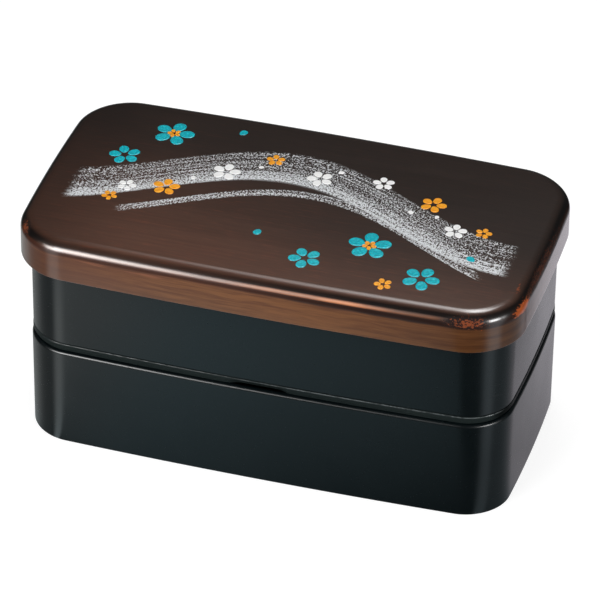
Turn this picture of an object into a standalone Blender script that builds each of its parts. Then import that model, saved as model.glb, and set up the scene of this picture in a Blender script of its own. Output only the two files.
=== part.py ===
# Two-tier lunch box: two stacked trays, each closed by an inner lid with a silicone ring and
# parted by a loose divider, under one lacquered outer lid. Metres, +Z up. The origin is under
# the middle of the box, on the surface that it stands on; the long sides face -Y and +Y.

import math

import bmesh
import bpy

# Plan of a tray at its rim: a rectangle with round corners and slightly bowed sides
TRAY_LENGTH = 0.1836
TRAY_WIDTH = 0.0947
CORNER_RADIUS = 0.0163
LONG_SIDE_BOW = 0.00196
SHORT_SIDE_BOW = 0.00162

# Trays
TRAY_HEIGHT = 0.0402
TRAY_WALL = 0.0022
TRAY_FLOOR = 0.0020
TRAY_DRAFT = 0.0002
RIM_OUTER_ROUND = 0.0014
RIM_INNER_ROUND = 0.0003
BOTTOM_ROUND = 0.0005
INSIDE_FILLET = 0.0060
FOOT_WIDTH = 0.0026
FOOT_RECESS = 0.0008
FOOT_SLOPE = 0.0004
UPPER_TRAY_INSET = 0.0002

# Inner lids: a flange on the rim, a plug inside the tray and a panel sunk between them
FLANGE_INSET = 0.0003
FLANGE_THICKNESS = 0.0020
FLANGE_ROUND = 0.0002
FLANGE_LIFT = 0.0012
SEAT_SETBACK = 0.0009
PLUG_CLEARANCE = 0.0008
PLUG_DEPTH = 0.0042
PLUG_WALL = 0.0025
PLUG_ROUND = 0.0004
PANEL_THICKNESS = 0.0015
PANEL_SINK = 0.0031
PANEL_LEDGE = 0.0006
NOTCH_WIDTH = 0.0256
NOTCH_FLAT = 0.0113
NOTCH_DEPTH = 0.0012
NOTCH_LIP = 0.0004

# Silicone rings in the plugs' grooves
GROOVE_DROP = 0.0011
GROOVE_HEIGHT = 0.0022
GROOVE_DEPTH = 0.0010

# Outer lid
END_OVERHANG = 0.0032
SIDE_OVERHANG = 0.00455
LID_WALL = 0.0022
SKIRT_OVERLAP = 0.0088
SKIRT_EDGE_ROUND = 0.0004
EDGE_ROUND = 0.0050
SHOULDER_WIDTH = 0.0040
SHOULDER_TILT = math.radians(45)
LID_CROWN = 0.0009
LID_HEADROOM = 0.0013
RIB_WIDTH = 0.0012
RIB_INSET = 0.0035

# Dividers
DIVIDER_THICKNESS = 0.0012
DIVIDER_HEIGHT = 0.0300
DIVIDER_TAB = 0.0100
TAB_SETBACK = 0.0002
DIVIDER_TOP_ROUND = 0.0040
DIVIDER_REACH = 0.0400
DIVIDER_OFFSET = 0.0200

# Play between pieces that touch or pass each other
GAP = 0.0003

# Facets: segments in a quarter turn of a corner, and in one of a small round
CORNER_SEGMENTS = 6
ROUND_SEGMENTS = 3
FILLET_SEGMENTS = 4
CROWN_STEPS = 3
END_STATIONS = (-0.5, 0.0, 0.5)
SIDE_STATIONS = (-2 / 3, -1 / 3, 0.0, 1 / 3, 2 / 3)
BESIDE_NOTCH = (0.42, 0.71)
SHARP_ANGLE = math.radians(35)
SMALLEST_CORNER = 0.002

# Heights that follow from the sizes above
FLANGE_BOTTOM = GAP + FLANGE_LIFT
FLANGE_TOP = FLANGE_BOTTOM + FLANGE_THICKNESS
UPPER_TRAY_BASE = TRAY_HEIGHT + FLANGE_TOP + GAP
UPPER_RIM = UPPER_TRAY_BASE + TRAY_HEIGHT
PLUG_INSET = TRAY_WALL + PLUG_CLEARANCE
RECESS_INSET = PLUG_INSET + PLUG_WALL + PANEL_LEDGE


class Plan:
    """A rounded rectangle with bowed sides, and the stations where its outline has points."""

    def __init__(self, length, width, radius, long_stations):
        self.half_length = length / 2
        self.half_width = width / 2
        self.radius = radius
        self.long_stations = long_stations

    def stations(self):
        """Each point as (share along x, share along y, corner angle, side it lies on)."""
        points = []
        quarter = math.pi / 2
        corners = ((1, -1, -quarter), (1, 1, 0.0), (-1, 1, quarter), (-1, -1, 2 * quarter))
        for number, (sign_x, sign_y, start) in enumerate(corners):
            for step in range(CORNER_SEGMENTS + 1):
                angle = start + quarter * step / CORNER_SEGMENTS
                points.append((sign_x, sign_y, angle, None))
            fractions = END_STATIONS if number % 2 == 0 else self.long_stations
            for fraction in fractions:
                if number == 0:
                    points.append((1, fraction, None, "x"))
                elif number == 1:
                    points.append((-fraction, 1, None, "y"))
                elif number == 2:
                    points.append((-1, -fraction, None, "x"))
                else:
                    points.append((fraction, -1, None, "y"))
        return points

    def place(self, station, inset):
        """The plan position of one station on the outline that lies inset inside this one."""
        length = self.half_length - inset
        width = self.half_width - inset
        radius = max(self.radius - inset, SMALLEST_CORNER)
        along, across, angle, side = station
        x = along * (length - radius)
        y = across * (width - radius)
        if side == "x":
            x = along * length
        elif side == "y":
            y = across * width
        else:
            x += radius * math.cos(angle)
            y += radius * math.sin(angle)
        bowed_x = x * (1 - SHORT_SIDE_BOW / length * (y / width) ** 2)
        bowed_y = y * (1 - LONG_SIDE_BOW / width * (x / length) ** 2)
        return bowed_x, bowed_y


def arc(centre_inset, centre_z, radius, start, end, segments):
    """Profile points on an arc; angle 0 points outwards, a quarter turn points up."""
    points = []
    for step in range(segments + 1):
        angle = math.radians(start + (end - start) * step / segments)
        inset = centre_inset - radius * math.cos(angle)
        points.append((inset, centre_z + radius * math.sin(angle)))
    return points


def moved(profile, inset, height):
    """A profile shifted inwards and upwards as a whole."""
    return [(point[0] + inset, point[1] + height) + tuple(point[2:]) for point in profile]


def notch_share(x):
    """How deep the finger notch is at x: 1 in its middle, 0 beyond its ends."""
    run = (NOTCH_WIDTH - NOTCH_FLAT) / 2
    return min(max((NOTCH_WIDTH / 2 - abs(x)) / run, 0.0), 1.0)


def loft(name, plan, profile, ring=False):
    """A closed body swept round the plan. A profile point is (inset, z) or, where the finger
    notch moves it, (inset, z, inset shift, height shift)."""
    mesh = bmesh.new()
    stations = plan.stations()
    loops = []
    for point in profile:
        inset, z = point[:2]
        push, lift = point[2:] if len(point) > 2 else (0.0, 0.0)
        loop = []
        for station in stations:
            x, y = plan.place(station, inset)
            share = notch_share(x) if station[3] == "y" else 0.0
            if push * share:
                x, y = plan.place(station, inset + push * share)
            loop.append(mesh.verts.new((x, y, z + lift * share)))
        loops.append(loop)
    following = loops[1:] + loops[:1] if ring else loops[1:]
    for lower, upper in zip(loops, following):
        for index, corner in enumerate(lower):
            after = (index + 1) % len(lower)
            mesh.faces.new((corner, lower[after], upper[after], upper[index]))
    if not ring:
        mesh.faces.new(loops[0])
        mesh.faces.new(loops[-1])
    bmesh.ops.recalc_face_normals(mesh, faces=mesh.faces)
    return add_object(name, mesh)


def add_object(name, mesh):
    data = bpy.data.meshes.new(name)
    mesh.to_mesh(data)
    mesh.free()
    data.shade_smooth()
    data.set_sharp_from_angle(angle=SHARP_ANGLE)
    item = bpy.data.objects.new(name, data)
    bpy.context.scene.collection.objects.link(item)
    return item


def finish(item, colour, roughness):
    """Gives a piece its own plain material."""
    material = bpy.data.materials.new(item.name)
    material.use_nodes = True
    shader = material.node_tree.nodes["Principled BSDF"]
    shader.inputs["Base Color"].default_value = (*colour, 1.0)
    shader.inputs["Roughness"].default_value = roughness
    shader.inputs["Metallic"].default_value = 0.0
    item.data.materials.append(material)


def tray_inside(floor_top, rim):
    """Floor, fillet, wall and inner rim edge of a tray, from the middle outwards."""
    wall_foot = TRAY_WALL + TRAY_DRAFT
    centre = wall_foot + INSIDE_FILLET
    points = arc(centre, floor_top + INSIDE_FILLET, INSIDE_FILLET, -90, 0, FILLET_SEGMENTS)
    points += arc(TRAY_WALL - RIM_INNER_ROUND, rim - RIM_INNER_ROUND, RIM_INNER_ROUND, 180, 90, 2)
    return points


def tray_outside(base, rim):
    """Outer rim edge, wall and bottom edge of a tray, from the rim down."""
    points = arc(RIM_OUTER_ROUND, rim - RIM_OUTER_ROUND, RIM_OUTER_ROUND, 90, 0, ROUND_SEGMENTS)
    centre = TRAY_DRAFT + BOTTOM_ROUND
    points += arc(centre, base + BOTTOM_ROUND, BOTTOM_ROUND, 0, -90, ROUND_SEGMENTS)
    return points


def build_lower_tray(plan):
    """The tray that stands on the table, on a foot ring round a shallow recess."""
    floor_top = FOOT_RECESS + TRAY_FLOOR
    foot_inner = TRAY_DRAFT + BOTTOM_ROUND + FOOT_WIDTH
    profile = tray_inside(floor_top, TRAY_HEIGHT) + tray_outside(0.0, TRAY_HEIGHT)
    profile += [(foot_inner, 0.0), (foot_inner + FOOT_SLOPE, FOOT_RECESS)]
    finish(loft("lower_tier", plan, profile), (0.018, 0.025, 0.028), 0.32)


def build_upper_tray(plan):
    """The tray whose wall stands on the lower inner lid's flange and whose foot nests in it."""
    foot_bottom = UPPER_TRAY_BASE - PANEL_SINK
    foot_outer = RECESS_INSET + FLANGE_ROUND + GAP
    floor_top = foot_bottom + FOOT_RECESS + TRAY_FLOOR
    profile = tray_inside(floor_top, UPPER_RIM) + tray_outside(UPPER_TRAY_BASE, UPPER_RIM)
    profile = moved(profile, UPPER_TRAY_INSET, 0.0)
    profile += [(foot_outer, UPPER_TRAY_BASE), (foot_outer, foot_bottom + FOOT_SLOPE)]
    profile += [(foot_outer + FOOT_SLOPE, foot_bottom), (foot_outer + FOOT_WIDTH, foot_bottom)]
    profile += [(foot_outer + FOOT_WIDTH + FOOT_SLOPE, foot_bottom + FOOT_RECESS)]
    finish(loft("upper_tier", plan, profile), (0.018, 0.025, 0.028), 0.32)


def build_inner_lid(name, plan, rim, inset):
    """Panel underside, plug with its groove, seat, notched flange and panel top."""
    seat = GAP
    plug_bottom = seat - PLUG_DEPTH
    plug_inner = PLUG_INSET + PLUG_WALL
    groove_top = seat - GROOVE_DROP
    groove_bottom = groove_top - GROOVE_HEIGHT
    panel_top = FLANGE_TOP - PANEL_SINK
    step = FLANGE_INSET + SEAT_SETBACK
    notch_lift = FLANGE_THICKNESS - NOTCH_LIP - FLANGE_ROUND
    profile = [(plug_inner, panel_top - PANEL_THICKNESS), (plug_inner, plug_bottom + PLUG_ROUND)]
    profile += [(plug_inner - PLUG_ROUND, plug_bottom), (PLUG_INSET + PLUG_ROUND, plug_bottom)]
    profile += [(PLUG_INSET, plug_bottom + PLUG_ROUND), (PLUG_INSET, groove_bottom)]
    profile += [(PLUG_INSET + GROOVE_DEPTH, groove_bottom), (PLUG_INSET + GROOVE_DEPTH, groove_top)]
    profile += [(PLUG_INSET, groove_top), (PLUG_INSET, seat)]
    profile += [(step, seat, NOTCH_DEPTH, 0.0)]
    profile += [(step, FLANGE_BOTTOM, NOTCH_DEPTH, notch_lift)]
    profile += [(FLANGE_INSET + FLANGE_ROUND, FLANGE_BOTTOM, 0.0, notch_lift)]
    profile += [(FLANGE_INSET, FLANGE_BOTTOM + FLANGE_ROUND, 0.0, notch_lift)]
    profile += [(FLANGE_INSET, FLANGE_TOP - FLANGE_ROUND)]
    profile += [(FLANGE_INSET + FLANGE_ROUND, FLANGE_TOP), (RECESS_INSET, FLANGE_TOP)]
    profile += [(RECESS_INSET + FLANGE_ROUND, FLANGE_TOP - FLANGE_ROUND)]
    profile += [(RECESS_INSET + FLANGE_ROUND, panel_top)]
    finish(loft(name, plan, moved(profile, inset, rim)), (0.022, 0.026, 0.025), 0.38)


def build_seal_ring(name, plan, rim, inset):
    """A ring in the plug's groove, with a lip that tapers towards the tray's wall."""
    top = rim + GAP - GROOVE_DROP - GAP
    bottom = top - GROOVE_HEIGHT + 2 * GAP
    middle = (top + bottom) / 2
    back = PLUG_INSET + GROOVE_DEPTH - GAP
    lip = TRAY_WALL + TRAY_DRAFT + GAP
    profile = [(back, bottom), (back, top), (PLUG_INSET, top), (lip, middle), (PLUG_INSET, bottom)]
    finish(loft(name, plan, moved(profile, inset, 0.0), ring=True), (0.62, 0.62, 0.60), 0.5)


def crown_rings(edge_inset, edge_z, half_width):
    """Rings of a shallow crown, from its edge towards the middle."""
    points = []
    for step in range(CROWN_STEPS + 1):
        share = step / (CROWN_STEPS + 1)
        inset = edge_inset + (half_width - edge_inset) * share
        points.append((inset, edge_z + LID_CROWN * (1 - (1 - share) ** 2)))
    return points


def build_outer_lid(plan):
    """Ceiling with a stop rib, skirt and softly tilted shoulder up to a crowned top."""
    flange_top = UPPER_RIM + FLANGE_TOP
    ceiling = flange_top + LID_HEADROOM
    skirt_bottom = UPPER_RIM - SKIRT_OVERLAP
    top = ceiling + LID_WALL
    rib_bottom = flange_top + GAP
    edge_inset = EDGE_ROUND * (1 - math.sin(SHOULDER_TILT)) + SHOULDER_WIDTH
    shoulder_radius = SHOULDER_WIDTH / math.sin(SHOULDER_TILT)
    shoulder_drop = shoulder_radius * (1 - math.cos(SHOULDER_TILT))
    edge_centre = top - shoulder_drop - EDGE_ROUND * math.cos(SHOULDER_TILT)
    rib_outer = SIDE_OVERHANG + RIB_INSET
    ceiling_edge = LID_WALL + shoulder_drop
    inside = crown_rings(rib_outer + 2 * RIB_WIDTH, ceiling, plan.half_width)[::-1]
    inside += [(rib_outer + RIB_WIDTH, ceiling), (rib_outer + RIB_WIDTH, rib_bottom)]
    inside += [(rib_outer, rib_bottom), (rib_outer, ceiling)]
    inside += [(ceiling_edge, ceiling), (LID_WALL, ceiling - shoulder_drop)]
    inside += [(LID_WALL, skirt_bottom + SKIRT_EDGE_ROUND)]
    outside = [(LID_WALL - SKIRT_EDGE_ROUND, skirt_bottom), (SKIRT_EDGE_ROUND, skirt_bottom)]
    outside += [(0.0, skirt_bottom + SKIRT_EDGE_ROUND)]
    tilt = math.degrees(SHOULDER_TILT)
    outside += arc(EDGE_ROUND, edge_centre, EDGE_ROUND, 0, 90 - tilt, FILLET_SEGMENTS)
    outside += arc(edge_inset, top - shoulder_radius, shoulder_radius, 90 - tilt, 90,
                   FILLET_SEGMENTS)[1:-1]
    outside += crown_rings(edge_inset, top, plan.half_width)
    finish(loft("outer_lid", plan, inside + outside), (0.075, 0.034, 0.020), 0.28)


def build_divider(name, floor_top, inset, x):
    """A thin web with round lower corners that follow the tray's fillet, and a tab at each end."""
    farthest = DIVIDER_REACH + DIVIDER_TAB / 2
    narrowing = LONG_SIDE_BOW * (farthest / (TRAY_LENGTH / 2)) ** 2
    half_width = TRAY_WIDTH / 2 - inset - TRAY_WALL - TRAY_DRAFT - narrowing - GAP
    bottom = floor_top + GAP
    top = bottom + DIVIDER_HEIGHT
    outline = []
    for step in range(FILLET_SEGMENTS + 1):
        angle = math.pi / 2 * step / FILLET_SEGMENTS
        y = half_width - INSIDE_FILLET * (1 - math.sin(angle))
        outline.append((y, bottom + INSIDE_FILLET * (1 - math.cos(angle))))
    for step in range(ROUND_SEGMENTS + 1):
        angle = math.pi / 2 * step / ROUND_SEGMENTS
        y = half_width - DIVIDER_TOP_ROUND * (1 - math.cos(angle))
        outline.append((y, top - DIVIDER_TOP_ROUND * (1 - math.sin(angle))))
    outline += [(-y, z) for y, z in reversed(outline)]
    half = DIVIDER_THICKNESS / 2
    mesh = bmesh.new()
    near = [mesh.verts.new((x - half, y, z)) for y, z in outline]
    face = mesh.faces.new(near)
    swept = bmesh.ops.extrude_face_region(mesh, geom=[face])["geom"]
    moving = [item for item in swept if isinstance(item, bmesh.types.BMVert)]
    bmesh.ops.translate(mesh, verts=moving, vec=(DIVIDER_THICKNESS, 0.0, 0.0))
    bmesh.ops.recalc_face_normals(mesh, faces=mesh.faces)
    divider = add_object(name, mesh)
    tab_bottom = bottom + INSIDE_FILLET
    tab_top = top - DIVIDER_TOP_ROUND
    for side in (-1, 1):
        tab = bmesh.new()
        bmesh.ops.create_cube(tab, size=1.0)
        size = (DIVIDER_TAB, DIVIDER_THICKNESS, tab_top - tab_bottom)
        bmesh.ops.scale(tab, verts=tab.verts, vec=size)
        centre_y = side * (half_width - TAB_SETBACK - half)
        centre = (x, centre_y, (tab_bottom + tab_top) / 2)
        bmesh.ops.translate(tab, verts=tab.verts, vec=centre)
        joined = add_object(f"{name}_tab_{side}", tab)
        joined.hide_render = True
        joined.display_type = "WIRE"
        union = divider.modifiers.new("tab", "BOOLEAN")
        union.operation = "UNION"
        union.solver = "EXACT"
        union.object = joined
    finish(divider, (0.018, 0.025, 0.028), 0.40)


def main():
    for item in list(bpy.data.objects):
        bpy.data.objects.remove(item)
    tray_plan = Plan(TRAY_LENGTH, TRAY_WIDTH, CORNER_RADIUS, SIDE_STATIONS)
    straight = TRAY_LENGTH / 2 - CORNER_RADIUS
    notch_ends = [NOTCH_FLAT / 2, NOTCH_WIDTH / 2]
    right = [distance / straight for distance in notch_ends] + list(BESIDE_NOTCH)
    notched = [-fraction for fraction in reversed(right)] + right
    lid_plan = Plan(TRAY_LENGTH, TRAY_WIDTH, CORNER_RADIUS, notched)
    outer_length = TRAY_LENGTH + 2 * END_OVERHANG
    outer_width = TRAY_WIDTH + 2 * SIDE_OVERHANG
    outer_radius = CORNER_RADIUS + (END_OVERHANG + SIDE_OVERHANG) / 2
    outer_plan = Plan(outer_length, outer_width, outer_radius, SIDE_STATIONS)
    build_lower_tray(tray_plan)
    build_inner_lid("lower_inner_lid", lid_plan, TRAY_HEIGHT, 0.0)
    build_seal_ring("lower_seal_ring", tray_plan, TRAY_HEIGHT, 0.0)
    build_upper_tray(tray_plan)
    build_inner_lid("upper_inner_lid", lid_plan, UPPER_RIM, UPPER_TRAY_INSET)
    build_seal_ring("upper_seal_ring", tray_plan, UPPER_RIM, UPPER_TRAY_INSET)
    build_outer_lid(outer_plan)
    lower_floor = FOOT_RECESS + TRAY_FLOOR
    upper_floor = UPPER_TRAY_BASE - PANEL_SINK + FOOT_RECESS + TRAY_FLOOR
    build_divider("lower_divider", lower_floor, 0.0, -DIVIDER_OFFSET)
    build_divider("upper_divider", upper_floor, UPPER_TRAY_INSET, DIVIDER_OFFSET)


main()
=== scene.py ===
# Two-tier lunch box: fine trays, inner lids, silicone rings, dividers and a lacquered lid
import math
import bmesh
import bpy
from mathutils import Matrix, Vector
from mathutils.bvhtree import BVHTree


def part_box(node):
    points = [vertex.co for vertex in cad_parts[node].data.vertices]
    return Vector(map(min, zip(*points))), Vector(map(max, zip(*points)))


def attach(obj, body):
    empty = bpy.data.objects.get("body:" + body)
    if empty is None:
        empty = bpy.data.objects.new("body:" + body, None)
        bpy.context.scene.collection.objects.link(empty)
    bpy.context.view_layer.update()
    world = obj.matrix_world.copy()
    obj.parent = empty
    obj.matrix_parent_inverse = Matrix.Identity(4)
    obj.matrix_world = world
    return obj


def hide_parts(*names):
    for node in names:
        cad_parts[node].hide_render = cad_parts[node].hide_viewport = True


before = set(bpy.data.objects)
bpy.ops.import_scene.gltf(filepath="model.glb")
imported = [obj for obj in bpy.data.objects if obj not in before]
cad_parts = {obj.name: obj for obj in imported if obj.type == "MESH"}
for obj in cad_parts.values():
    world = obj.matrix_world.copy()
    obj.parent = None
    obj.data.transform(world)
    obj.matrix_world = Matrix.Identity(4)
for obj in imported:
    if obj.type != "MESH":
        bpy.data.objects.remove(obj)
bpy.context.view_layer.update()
print("frame loaded:", len(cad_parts), "CAD nodes")

# Plan of both trays at the rim; the CAD boxes give the length and the width
trayPlan = {"corner": 0.0163, "longBow": 0.00196, "shortBow": 0.00162}
gap = 0.0003  # play between two pieces that touch


def planOf(node, corner, longBow, shortBow):
    low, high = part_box(node)
    return {
        "length": high.x - low.x, "width": high.y - low.y, "corner": corner,
        "longBow": longBow, "shortBow": shortBow,
    }


# Small helpers for node trees

def feed(tree, socket, value):
    # A socket is linked; anything else is set
    if isinstance(value, bpy.types.NodeSocket):
        tree.links.new(value, socket)
    else:
        socket.default_value = value


def put(tree, kind, values=None, **settings):
    node = tree.nodes.new(kind)
    for key, value in settings.items():
        setattr(node, key, value)
    for key, value in (values or {}).items():
        feed(tree, node.inputs[key], value)
    return node


def calc(tree, operation, *values, clamp=False):
    node = put(tree, "ShaderNodeMath", dict(enumerate(values)), operation=operation, use_clamp=clamp)
    return node.outputs[0]


def times(tree, *factors):
    result = factors[0]
    for factor in factors[1:]:
        result = calc(tree, "MULTIPLY", result, factor)
    return result


def timesPlus(tree, value, factor, rest):
    return calc(tree, "MULTIPLY_ADD", value, factor, rest)


def offFrom(tree, value, middle):
    # How far a value is from a middle, to either side
    return calc(tree, "ABSOLUTE", calc(tree, "SUBTRACT", value, middle))


def ramp(tree, value, fromLow, fromHigh, toLow=0.0, toHigh=1.0, smooth=True):
    return put(tree, "ShaderNodeMapRange", {
        "Value": value, "From Min": fromLow, "From Max": fromHigh, "To Min": toLow, "To Max": toHigh,
    }, interpolation_type="SMOOTHSTEP" if smooth else "LINEAR").outputs["Result"]


def vectorCalc(tree, operation, *values):
    node = put(tree, "ShaderNodeVectorMath", dict(enumerate(values)), operation=operation)
    return node.outputs["Value" if operation == "LENGTH" else "Vector"]


def scaled(tree, vector, x, y, z):
    return vectorCalc(tree, "MULTIPLY", vector, (x, y, z))


def axes(tree, vector):
    split = put(tree, "ShaderNodeSeparateXYZ", {0: vector})
    return split.outputs["X"], split.outputs["Y"], split.outputs["Z"]


def blendColour(tree, share, first, second, blend="MIX"):
    # The colours are sockets, or red, green and blue
    values = {0: share}
    for index, item in ((6, first), (7, second)):
        values[index] = item if isinstance(item, bpy.types.NodeSocket) else (*item, 1.0)
    return put(tree, "ShaderNodeMix", values, data_type="RGBA", blend_type=blend).outputs[2]


def greyOf(tree, level):
    return put(tree, "ShaderNodeCombineColor", {0: level, 1: level, 2: level}).outputs[0]


def shaded(tree, colour, level):
    return blendColour(tree, 1.0, colour, greyOf(tree, level), blend="MULTIPLY")


def noise(tree, vector, scale, detail=2.0, roughness=0.5, seed=0.0):
    # A shift along W keeps the patterns of two noises apart
    return put(tree, "ShaderNodeTexNoise", {
        "Vector": vector, "W": seed, "Scale": scale, "Detail": detail, "Roughness": roughness,
    }, noise_dimensions="4D").outputs["Fac"]


def newGroup(name, kind, inputs, outputs):
    # inputs and outputs are (name, socket type, default); returns the tree with its two end nodes
    tree = bpy.data.node_groups.new(name, kind)
    for label, socketType, default in inputs:
        socket = tree.interface.new_socket(label, in_out="INPUT", socket_type=socketType)
        if default is not None:
            socket.default_value = default
    for label, socketType in outputs:
        tree.interface.new_socket(label, in_out="OUTPUT", socket_type=socketType)
    return tree, tree.nodes.new("NodeGroupInput"), tree.nodes.new("NodeGroupOutput")


def useGroup(tree, group, **values):
    return put(tree, "ShaderNodeGroup", values, node_tree=group)


number, vectorType, geometry = "NodeSocketFloat", "NodeSocketVector", "NodeSocketGeometry"


# Shader groups that several finishes use. Scales are features in a metre, and a pair of numbers
# is where a mask starts and where it is full. Each group has its numbers above it

grain = {
    "fineScale": 4.3, "fineShare": 0.45, "streaks": (0.32, 0.68),
    "poreStretch": (6.0, 5.0, 5.0), "pores": (0.60, 0.72),
}


def makeGrainGroup():
    # Long brushed streaks and short dark pores; the vector comes in already stretched
    tree, ends, out = newGroup(
        "brushedGrain", "ShaderNodeTree",
        [("Vector", vectorType, None), ("Seed", number, 0.0)],
        [("Streaks", number), ("Pores", number)],
    )
    vector, seed = ends.outputs["Vector"], ends.outputs["Seed"]
    broad = noise(tree, vector, 1.0, detail=3.0, roughness=0.55, seed=seed)
    fine = noise(tree, vector, grain["fineScale"], detail=3.0, roughness=0.6, seed=seed)
    both = timesPlus(tree, fine, grain["fineShare"], times(tree, broad, 1 - grain["fineShare"]))
    tree.links.new(ramp(tree, both, *grain["streaks"]), out.inputs["Streaks"])
    dashes = noise(tree, scaled(tree, vector, *grain["poreStretch"]), 1.0, detail=1.0, seed=seed)
    tree.links.new(ramp(tree, dashes, *grain["pores"]), out.inputs["Pores"])
    return tree


sprinkle = {
    "alongScale": 16.0, "acrossScale": 850.0, "raggedEdge": 0.30, "inside": (1.04, 0.90),
    "denseSide": (0.10, -1.00), "streakPull": 1.7, "grainScale": 1500.0, "grainPull": 4.2,
    "grains": (0.93, 1.03),
}


def makeSprinkleGroup():
    # Dry-brushed silver powder: dense along one edge of a strand and open along the other
    tree, ends, out = newGroup(
        "sprinkle", "ShaderNodeTree",
        [("Vector", vectorType, None), ("Off Centre", number, 0.0), ("Half Width", number, 0.01),
         ("Density", number, 0.5), ("Lean", number, 0.3), ("Seed", number, 0.0)],
        [("Mask", number)],
    )
    vector, off, seed = (ends.outputs[name] for name in ("Vector", "Off Centre", "Seed"))
    brushed = put(tree, "ShaderNodeCombineXYZ", {
        "X": times(tree, axes(tree, vector)[0], sprinkle["alongScale"]),
        "Y": times(tree, off, sprinkle["acrossScale"]),
    }).outputs[0]
    streaks = calc(tree, "SUBTRACT", noise(tree, brushed, 1.0, detail=3.0, roughness=0.6, seed=seed), 0.5)
    share = calc(tree, "DIVIDE", off, ends.outputs["Half Width"])
    ragged = timesPlus(tree, streaks, sprinkle["raggedEdge"], calc(tree, "ABSOLUTE", share))
    inside = ramp(tree, ragged, *sprinkle["inside"])
    dense = times(tree, ramp(tree, share, *sprinkle["denseSide"]), ends.outputs["Lean"])
    level = calc(tree, "ADD", ends.outputs["Density"], dense)
    level = timesPlus(tree, streaks, sprinkle["streakPull"], level)
    grains = noise(tree, vector, sprinkle["grainScale"], roughness=0.75, seed=seed)
    spread = timesPlus(tree, calc(tree, "SUBTRACT", grains, 0.5), sprinkle["grainPull"], 0.5)
    powder = ramp(tree, calc(tree, "ADD", level, spread), *sprinkle["grains"])
    tree.links.new(times(tree, powder, inside), out.inputs["Mask"])
    return tree


edgeRub = {
    "near": (1.0, 0.1), "patchScale": 34.0, "patchShare": 0.45, "fleckScale": 900.0, "fleckShare": 0.95,
    "worn": (0.95, 1.12),
}


def makeRubGroup():
    # Where polishing went through to the red under-coat: broken patches close to one height
    tree, ends, out = newGroup(
        "edgeRub", "ShaderNodeTree",
        [("Vector", vectorType, None), ("Height", number, 0.0), ("Reach", number, 0.001),
         ("Amount", number, 0.5), ("Seed", number, 0.0)],
        [("Mask", number)],
    )
    vector, seed = ends.outputs["Vector"], ends.outputs["Seed"]
    distance = offFrom(tree, axes(tree, vector)[2], ends.outputs["Height"])
    near = ramp(tree, calc(tree, "DIVIDE", distance, ends.outputs["Reach"]), *edgeRub["near"])
    patches = noise(tree, vector, edgeRub["patchScale"], detail=3.0, roughness=0.6, seed=seed)
    flecks = noise(tree, scaled(tree, vector, 1.0, 1.0, 1.6), edgeRub["fleckScale"], detail=4.0,
                   roughness=0.75, seed=seed)
    mixed = timesPlus(tree, flecks, edgeRub["fleckShare"], times(tree, patches, edgeRub["patchShare"]))
    worn = calc(tree, "ADD", mixed, times(tree, near, ends.outputs["Amount"]))
    tree.links.new(times(tree, ramp(tree, worn, *edgeRub["worn"]), near), out.inputs["Mask"])
    return tree


moulded = {
    "peelScale": 160.0, "toothScale": 2600.0, "toothShare": 0.06, "toneScale": 22.0, "tone": (0.3, 0.7),
    "markTurn": (0.4, 0.3, 0.7), "longMarks": (24.0, 1500.0, 900.0), "longMark": (0.70, 0.76),
    "crossMarks": (1300.0, 30.0, 1100.0), "crossMark": (0.71, 0.77),
}


def makeSurfaceGroup():
    # Moulded plastic close up: a slow orange peel, a fine tooth and hairline handling marks
    tree, ends, out = newGroup(
        "mouldedSurface", "ShaderNodeTree",
        [("Vector", vectorType, None), ("Peel", number, 0.5), ("Tooth", number, 0.5),
         ("Seed", number, 0.0)],
        [("Height", number), ("Tone", number), ("Marks", number)],
    )
    vector, seed = ends.outputs["Vector"], ends.outputs["Seed"]
    peel = noise(tree, vector, moulded["peelScale"], detail=1.0, seed=seed)
    tooth = noise(tree, vector, moulded["toothScale"], seed=seed)
    height = timesPlus(tree, tooth, times(tree, ends.outputs["Tooth"], moulded["toothShare"]),
                       times(tree, peel, ends.outputs["Peel"]))
    tree.links.new(height, out.inputs["Height"])
    tone = noise(tree, vector, moulded["toneScale"], detail=4.0, roughness=0.6, seed=seed)
    tree.links.new(ramp(tree, tone, *moulded["tone"]), out.inputs["Tone"])
    turned = put(tree, "ShaderNodeMapping", {"Vector": vector, "Rotation": moulded["markTurn"]}).outputs[0]
    marks = []
    for stretch, cut in (("longMarks", "longMark"), ("crossMarks", "crossMark")):
        lines = noise(tree, scaled(tree, turned, *moulded[stretch]), 1.0, detail=1.0, seed=seed)
        marks.append(ramp(tree, lines, *moulded[cut]))
    tree.links.new(calc(tree, "MAXIMUM", *marks), out.inputs["Marks"])
    return tree


wornPatch = {"fleckScale": 1050.0, "fleckPull": 5.5, "shrink": 0.30, "rim": (1.0, 0.70), "shareSpread": 0.5}


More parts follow.
